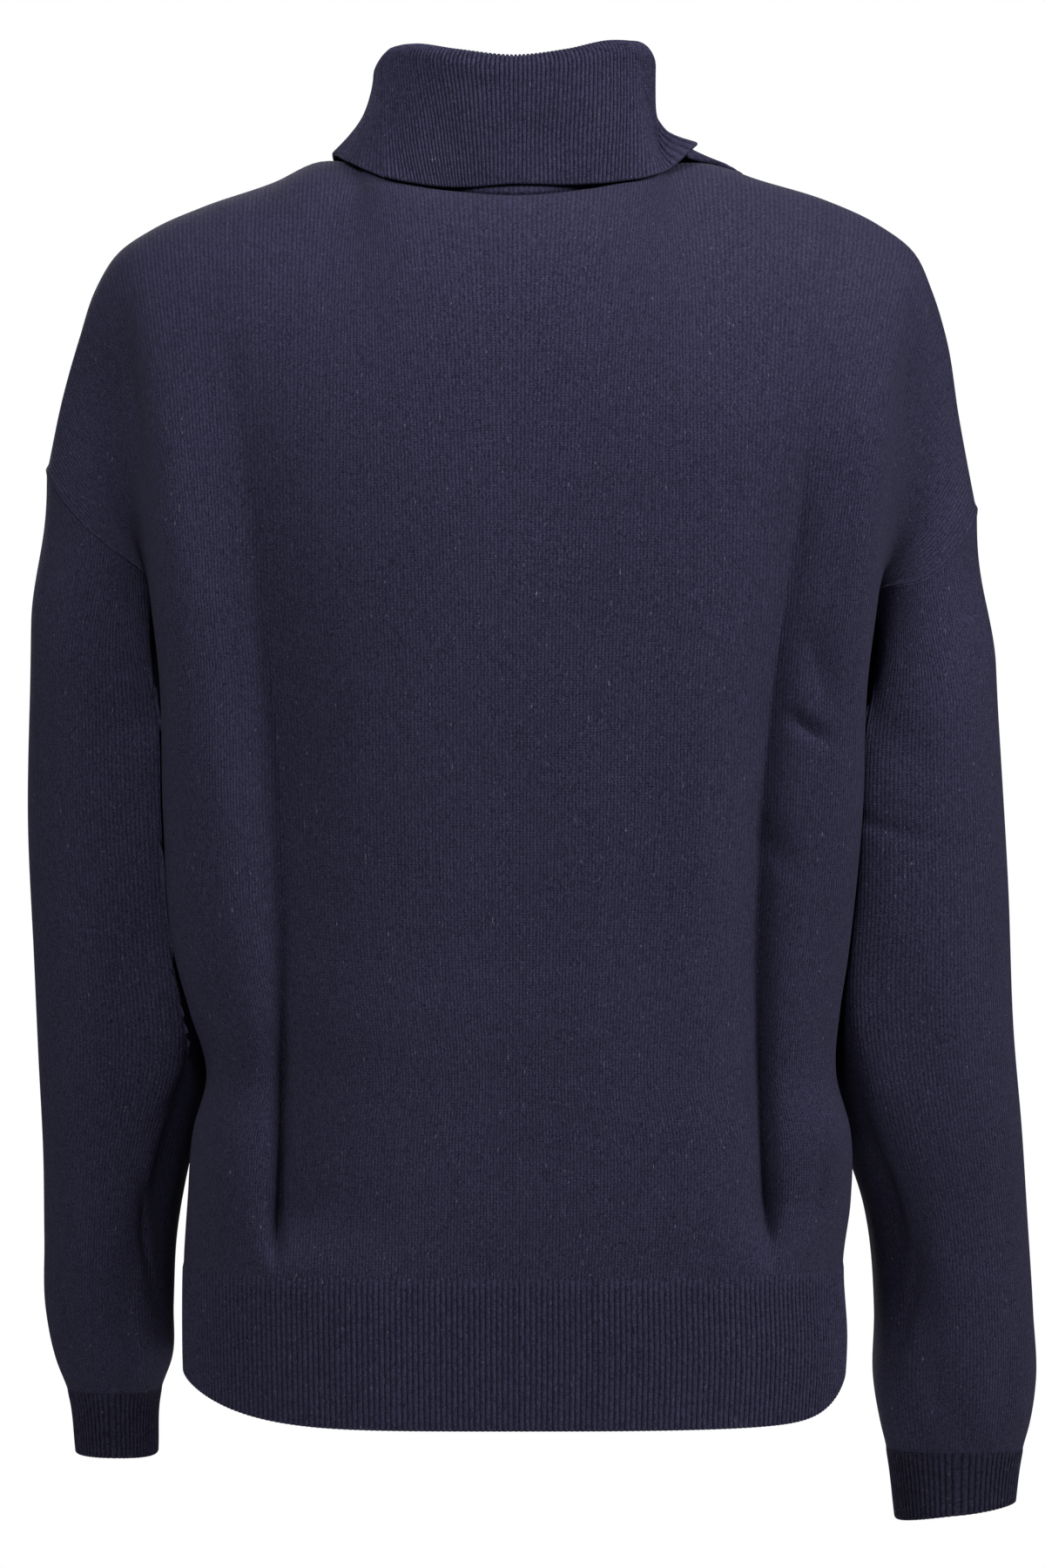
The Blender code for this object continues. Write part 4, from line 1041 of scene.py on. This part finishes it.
def calculate(tree, operation, *values):
    """A Math node on numbers or other nodes' outputs; gives its output."""
    node = tree.nodes.new("ShaderNodeMath")
    node.operation = operation
    for socket, value in zip(node.inputs, values):
        if isinstance(value, (int, float)):
            socket.default_value = value
        else:
            tree.links.new(value, socket)
    return node.outputs[0]


def noise(tree, vector, scale, detail=2.0, roughness=0.5):
    """A Noise node on a vector; gives its value output."""
    node = tree.nodes.new("ShaderNodeTexNoise")
    node.inputs["Scale"].default_value = scale
    node.inputs["Detail"].default_value = detail
    node.inputs["Roughness"].default_value = roughness
    tree.links.new(vector, node.inputs["Vector"])
    return node.outputs[0]


def knit_group():
    """Columns of V-shaped stitches on the cloth's coordinates.

    Across a wale the height is 1 - d ** 2.4, d being 0 at its middle and 1 in the groove.
    Along it each leg is a rounded bar that climbs towards the groove. A slow noise shifts
    both. Height, a random tone for each stitch, and the groove's depth come out.
    """
    group, inside, outside = new_group(
        "knit_stitches", (("Wale", WALE_PITCH), ("Course", COURSE_PITCH), ("Legs", 0.5)),
        ("Height", "Tone", "Groove"))

    def number(operation, *values):
        return calculate(group, operation, *values)

    def from_middle(repeats):
        """How far a place is from the middle of its repeat: |2 * fraction - 1|."""
        share = number("FRACT", repeats)
        return number("ABSOLUTE", number("SUBTRACT", number("MULTIPLY", share, 2.0), 1.0))

    place = group.nodes.new("ShaderNodeUVMap")
    place.uv_map = "cloth"
    parts = group.nodes.new("ShaderNodeSeparateXYZ")
    group.links.new(place.outputs[0], parts.inputs[0])
    wobble = noise(group, place.outputs[0], 260.0, 2.0)
    shift = number("MULTIPLY", number("SUBTRACT", wobble, 0.5), 0.9)
    wales = number("DIVIDE", parts.outputs["X"], inside.outputs["Wale"])
    column = number("ADD", wales, number("MULTIPLY", shift, 0.6))
    middle = from_middle(column)
    groove = number("POWER", middle, 2.4)
    climb = number("ADD", number("MULTIPLY", middle, 0.55), shift)
    row = number("ADD", number("DIVIDE", parts.outputs["Y"], inside.outputs["Course"]), climb)
    bar = number("SUBTRACT", 1.0, number("POWER", from_middle(row), 2.0))
    legs = inside.outputs["Legs"]
    weight = number("ADD", number("MULTIPLY", bar, legs), number("SUBTRACT", 1.0, legs))
    height = number("MULTIPLY", number("SUBTRACT", 1.0, groove), weight)
    stitch = group.nodes.new("ShaderNodeCombineXYZ")
    group.links.new(number("FLOOR", number("MULTIPLY", column, 2.0)), stitch.inputs["X"])
    group.links.new(number("FLOOR", row), stitch.inputs["Y"])
    random = group.nodes.new("ShaderNodeTexWhiteNoise")
    random.noise_dimensions = "2D"
    group.links.new(stitch.outputs[0], random.inputs["Vector"])
    group.links.new(height, outside.inputs["Height"])
    group.links.new(random.outputs["Value"], outside.inputs["Tone"])
    group.links.new(groove, outside.inputs["Groove"])
    return group


def nap_group():
    """Brushed wool on object coordinates: fine fuzz, slow changes of tone, and pale flecks,
    which are what two stretched noises have over a limit.
    """
    group, _, outside = new_group("wool_nap", (), ("Fuzz", "Cloud", "Fleck"))
    place = group.nodes.new("ShaderNodeTexCoord").outputs["Object"]
    group.links.new(noise(group, place, 1500.0, 3.0, 0.7), outside.inputs["Fuzz"])
    group.links.new(noise(group, place, 14.0, 3.0, 0.6), outside.inputs["Cloud"])
    total = group.nodes.new("ShaderNodeMath")
    total.operation = "ADD"
    total.use_clamp = True
    for turn, socket in zip((0.6, -0.5), total.inputs):
        mapping = group.nodes.new("ShaderNodeMapping")
        mapping.inputs["Rotation"].default_value = (0.0, turn, 0.3)
        mapping.inputs["Scale"].default_value = (1.0, 1.0, 0.28)
        group.links.new(place, mapping.inputs["Vector"])
        high = calculate(group, "SUBTRACT", noise(group, mapping.outputs[0], 950.0, 1.0), 0.745)
        fleck = calculate(group, "MULTIPLY", calculate(group, "MAXIMUM", high, 0.0), 14.0)
        group.links.new(fleck, socket)
    group.links.new(total.outputs[0], outside.inputs["Fleck"])
    return group


def mix_colours(tree, share, first, second):
    """A colour Mix node; the share and the colours are values or outputs; gives its output."""
    node = tree.nodes.new("ShaderNodeMix")
    node.data_type = "RGBA"
    sockets = (node.inputs["Factor"], *(each for each in node.inputs if each.type == "RGBA"))
    for socket, value in zip(sockets, (share, first, second)):
        if isinstance(value, (float, tuple)):
            socket.default_value = value
        else:
            tree.links.new(value, socket)
    return node.outputs[2]


def add_bump(tree, height, strength, distance):
    """A Bump node on a height; gives the node."""
    bump = tree.nodes.new("ShaderNodeBump")
    bump.inputs["Strength"].default_value = strength
    bump.inputs["Distance"].default_value = distance
    tree.links.new(height, bump.inputs["Height"])
    return bump


def wool_material(name, knit, nap, tones, wale, legs, stitch_height, groove):
    """Fine felted wool: stitches and fuzz as bumps, pale flecks, painted shade in the grooves and a
    soft sheen.
    The share of the light tone is 2.5 * fuzz - 1.02 + 0.28 * each stitch's own + 0.15 * cloud.
    """
    material = bpy.data.materials.new(name)
    material.use_nodes = True
    tree = material.node_tree
    shader = tree.nodes["Principled BSDF"]
    stitches = tree.nodes.new("ShaderNodeGroup")
    stitches.node_tree = knit
    stitches.inputs["Wale"].default_value = wale
    stitches.inputs["Legs"].default_value = legs
    wool = tree.nodes.new("ShaderNodeGroup")
    wool.node_tree = nap

    def times(output, factor):
        return calculate(tree, "MULTIPLY", output, factor)

    speckle = calculate(tree, "SUBTRACT", times(wool.outputs["Fuzz"], 2.5), 1.02)
    tone = calculate(tree, "ADD", times(stitches.outputs["Tone"], 0.28), speckle)
    tone = calculate(tree, "ADD", tone, times(wool.outputs["Cloud"], 0.15))
    dark, light = tones
    painted_groove_shade = (*(0.45 * part for part in dark[:3]), 1.0)
    colour = mix_colours(tree, tone, dark, light)
    # Painted shade: the colour darkens in the grooves by their depth times the finish's amount.
    colour = mix_colours(tree, times(stitches.outputs["Groove"], groove), colour, painted_groove_shade)
    colour = mix_colours(tree, times(wool.outputs["Fleck"], 0.5), colour, FLECK_COLOUR)
    tree.links.new(colour, shader.inputs["Base Color"])
    shader.inputs["Roughness"].default_value = 0.92
    shader.inputs["Specular IOR Level"].default_value = 0.06
    shader.inputs["Sheen Weight"].default_value = 0.03
    shader.inputs["Sheen Roughness"].default_value = 0.45
    shader.inputs["Sheen Tint"].default_value = SHEEN_COLOUR
    bump = add_bump(tree, stitches.outputs["Height"], 1.0, stitch_height)
    fuzz = add_bump(tree, wool.outputs["Fuzz"], 0.7, 0.35 * MM)
    tree.links.new(bump.outputs[0], fuzz.inputs["Normal"])
    tree.links.new(fuzz.outputs[0], shader.inputs["Normal"])
    return material


# Studio.

def add_light(name, place, size, power):
    """A square soft light that looks from its place at the middle of the sweater."""
    light = bpy.data.lights.new(name, "AREA")
    light.size = size
    light.energy = power
    lamp = bpy.data.objects.new(name, light)
    lamp.location = place
    aim = Vector(LIGHT_TARGET) - Vector(place)
    lamp.rotation_euler = aim.to_track_quat("-Z", "Y").to_euler()
    bpy.context.scene.collection.objects.link(lamp)


def add_world():
    """A world that the camera sees white, and that lights the cloth only a little."""
    world = bpy.data.worlds.new("studio")
    world.use_nodes = True
    tree = world.node_tree
    background = tree.nodes["Background"]
    background.inputs["Color"].default_value = (1.0, 1.0, 1.0, 1.0)
    seen = tree.nodes.new("ShaderNodeLightPath").outputs["Is Camera Ray"]
    strength = calculate(tree, "ADD", calculate(tree, "MULTIPLY", seen, 1 - WORLD_GLOW),
                         WORLD_GLOW)
    tree.links.new(strength, background.inputs["Strength"])
    bpy.context.scene.world = world


def add_floor():
    """A round pale floor under the sweater."""
    bpy.ops.mesh.primitive_circle_add(vertices=128, radius=FLOOR_RADIUS, fill_type="NGON",
                                      location=(0, 0, FLOOR_Z))
    floor = bpy.context.object
    floor.name = "floor"
    material = bpy.data.materials.new("pale_floor")
    material.use_nodes = True
    shader = material.node_tree.nodes["Principled BSDF"]
    shader.inputs["Base Color"].default_value = FLOOR_COLOUR
    shader.inputs["Roughness"].default_value = 0.8
    floor.data.materials.append(material)


def add_camera():
    """The camera behind the sweater, level, as the photo was taken."""
    camera = bpy.data.cameras.new("camera")
    camera.lens = CAMERA_LENS
    camera.clip_end = 50
    view = bpy.data.objects.new("camera", camera)
    view.location = CAMERA_PLACE
    view.rotation_euler = (math.pi / 2, 0, math.pi)
    bpy.context.scene.collection.objects.link(view)
    bpy.context.scene.camera = view


def add_studio():
    """The world, the lights, the floor and the camera."""
    bpy.context.scene.view_settings.view_transform = "Standard"
    add_world()
    for light in LIGHTS:
        add_light(*light)
    add_floor()
    add_camera()


# The sweater.

def dress(piece, node):
    """Let a piece stand for its solid: hang it from the root and hide the solid."""
    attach(piece, "root")
    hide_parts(node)


def build_sweater():
    """Make every piece in its material and let it stand for its solid."""
    knit, nap = knit_group(), nap_group()
    wool = {name: wool_material(name, knit, nap, *finish) for name, finish in FINISHES.items()}
    walls = panel_pair()
    for name, facing in (("back", 1), ("front", -1)):
        piece = add_wall(name + "_panel", *walls[facing], wool["navy_knit"])
        dress(piece, name)
        rib = "hem_rib_" + name
        piece = add_wall(rib + "_cloth", *hem_wall(facing), wool["navy_hem_rib"])
        dress(piece, rib)
    for side in SIGN:
        sleeve, cuff = "sleeve_" + side, "cuff_" + side
        piece = add_wall(sleeve + "_cloth", *sleeve_wall(side), wool["navy_knit"], ring=True)
        dress(piece, sleeve)
        # The cuffs take the darker tones of painted shade.
        piece = add_wall(cuff + "_cloth", *cuff_wall(side), wool["navy_cuff_rib_shaded"], ring=True)
        dress(piece, cuff)
    piece = add_wall("collar_cloth", *collar_wall(), wool["navy_collar_rib"], ring=True)
    dress(piece, "collar")


add_studio()
build_sweater()
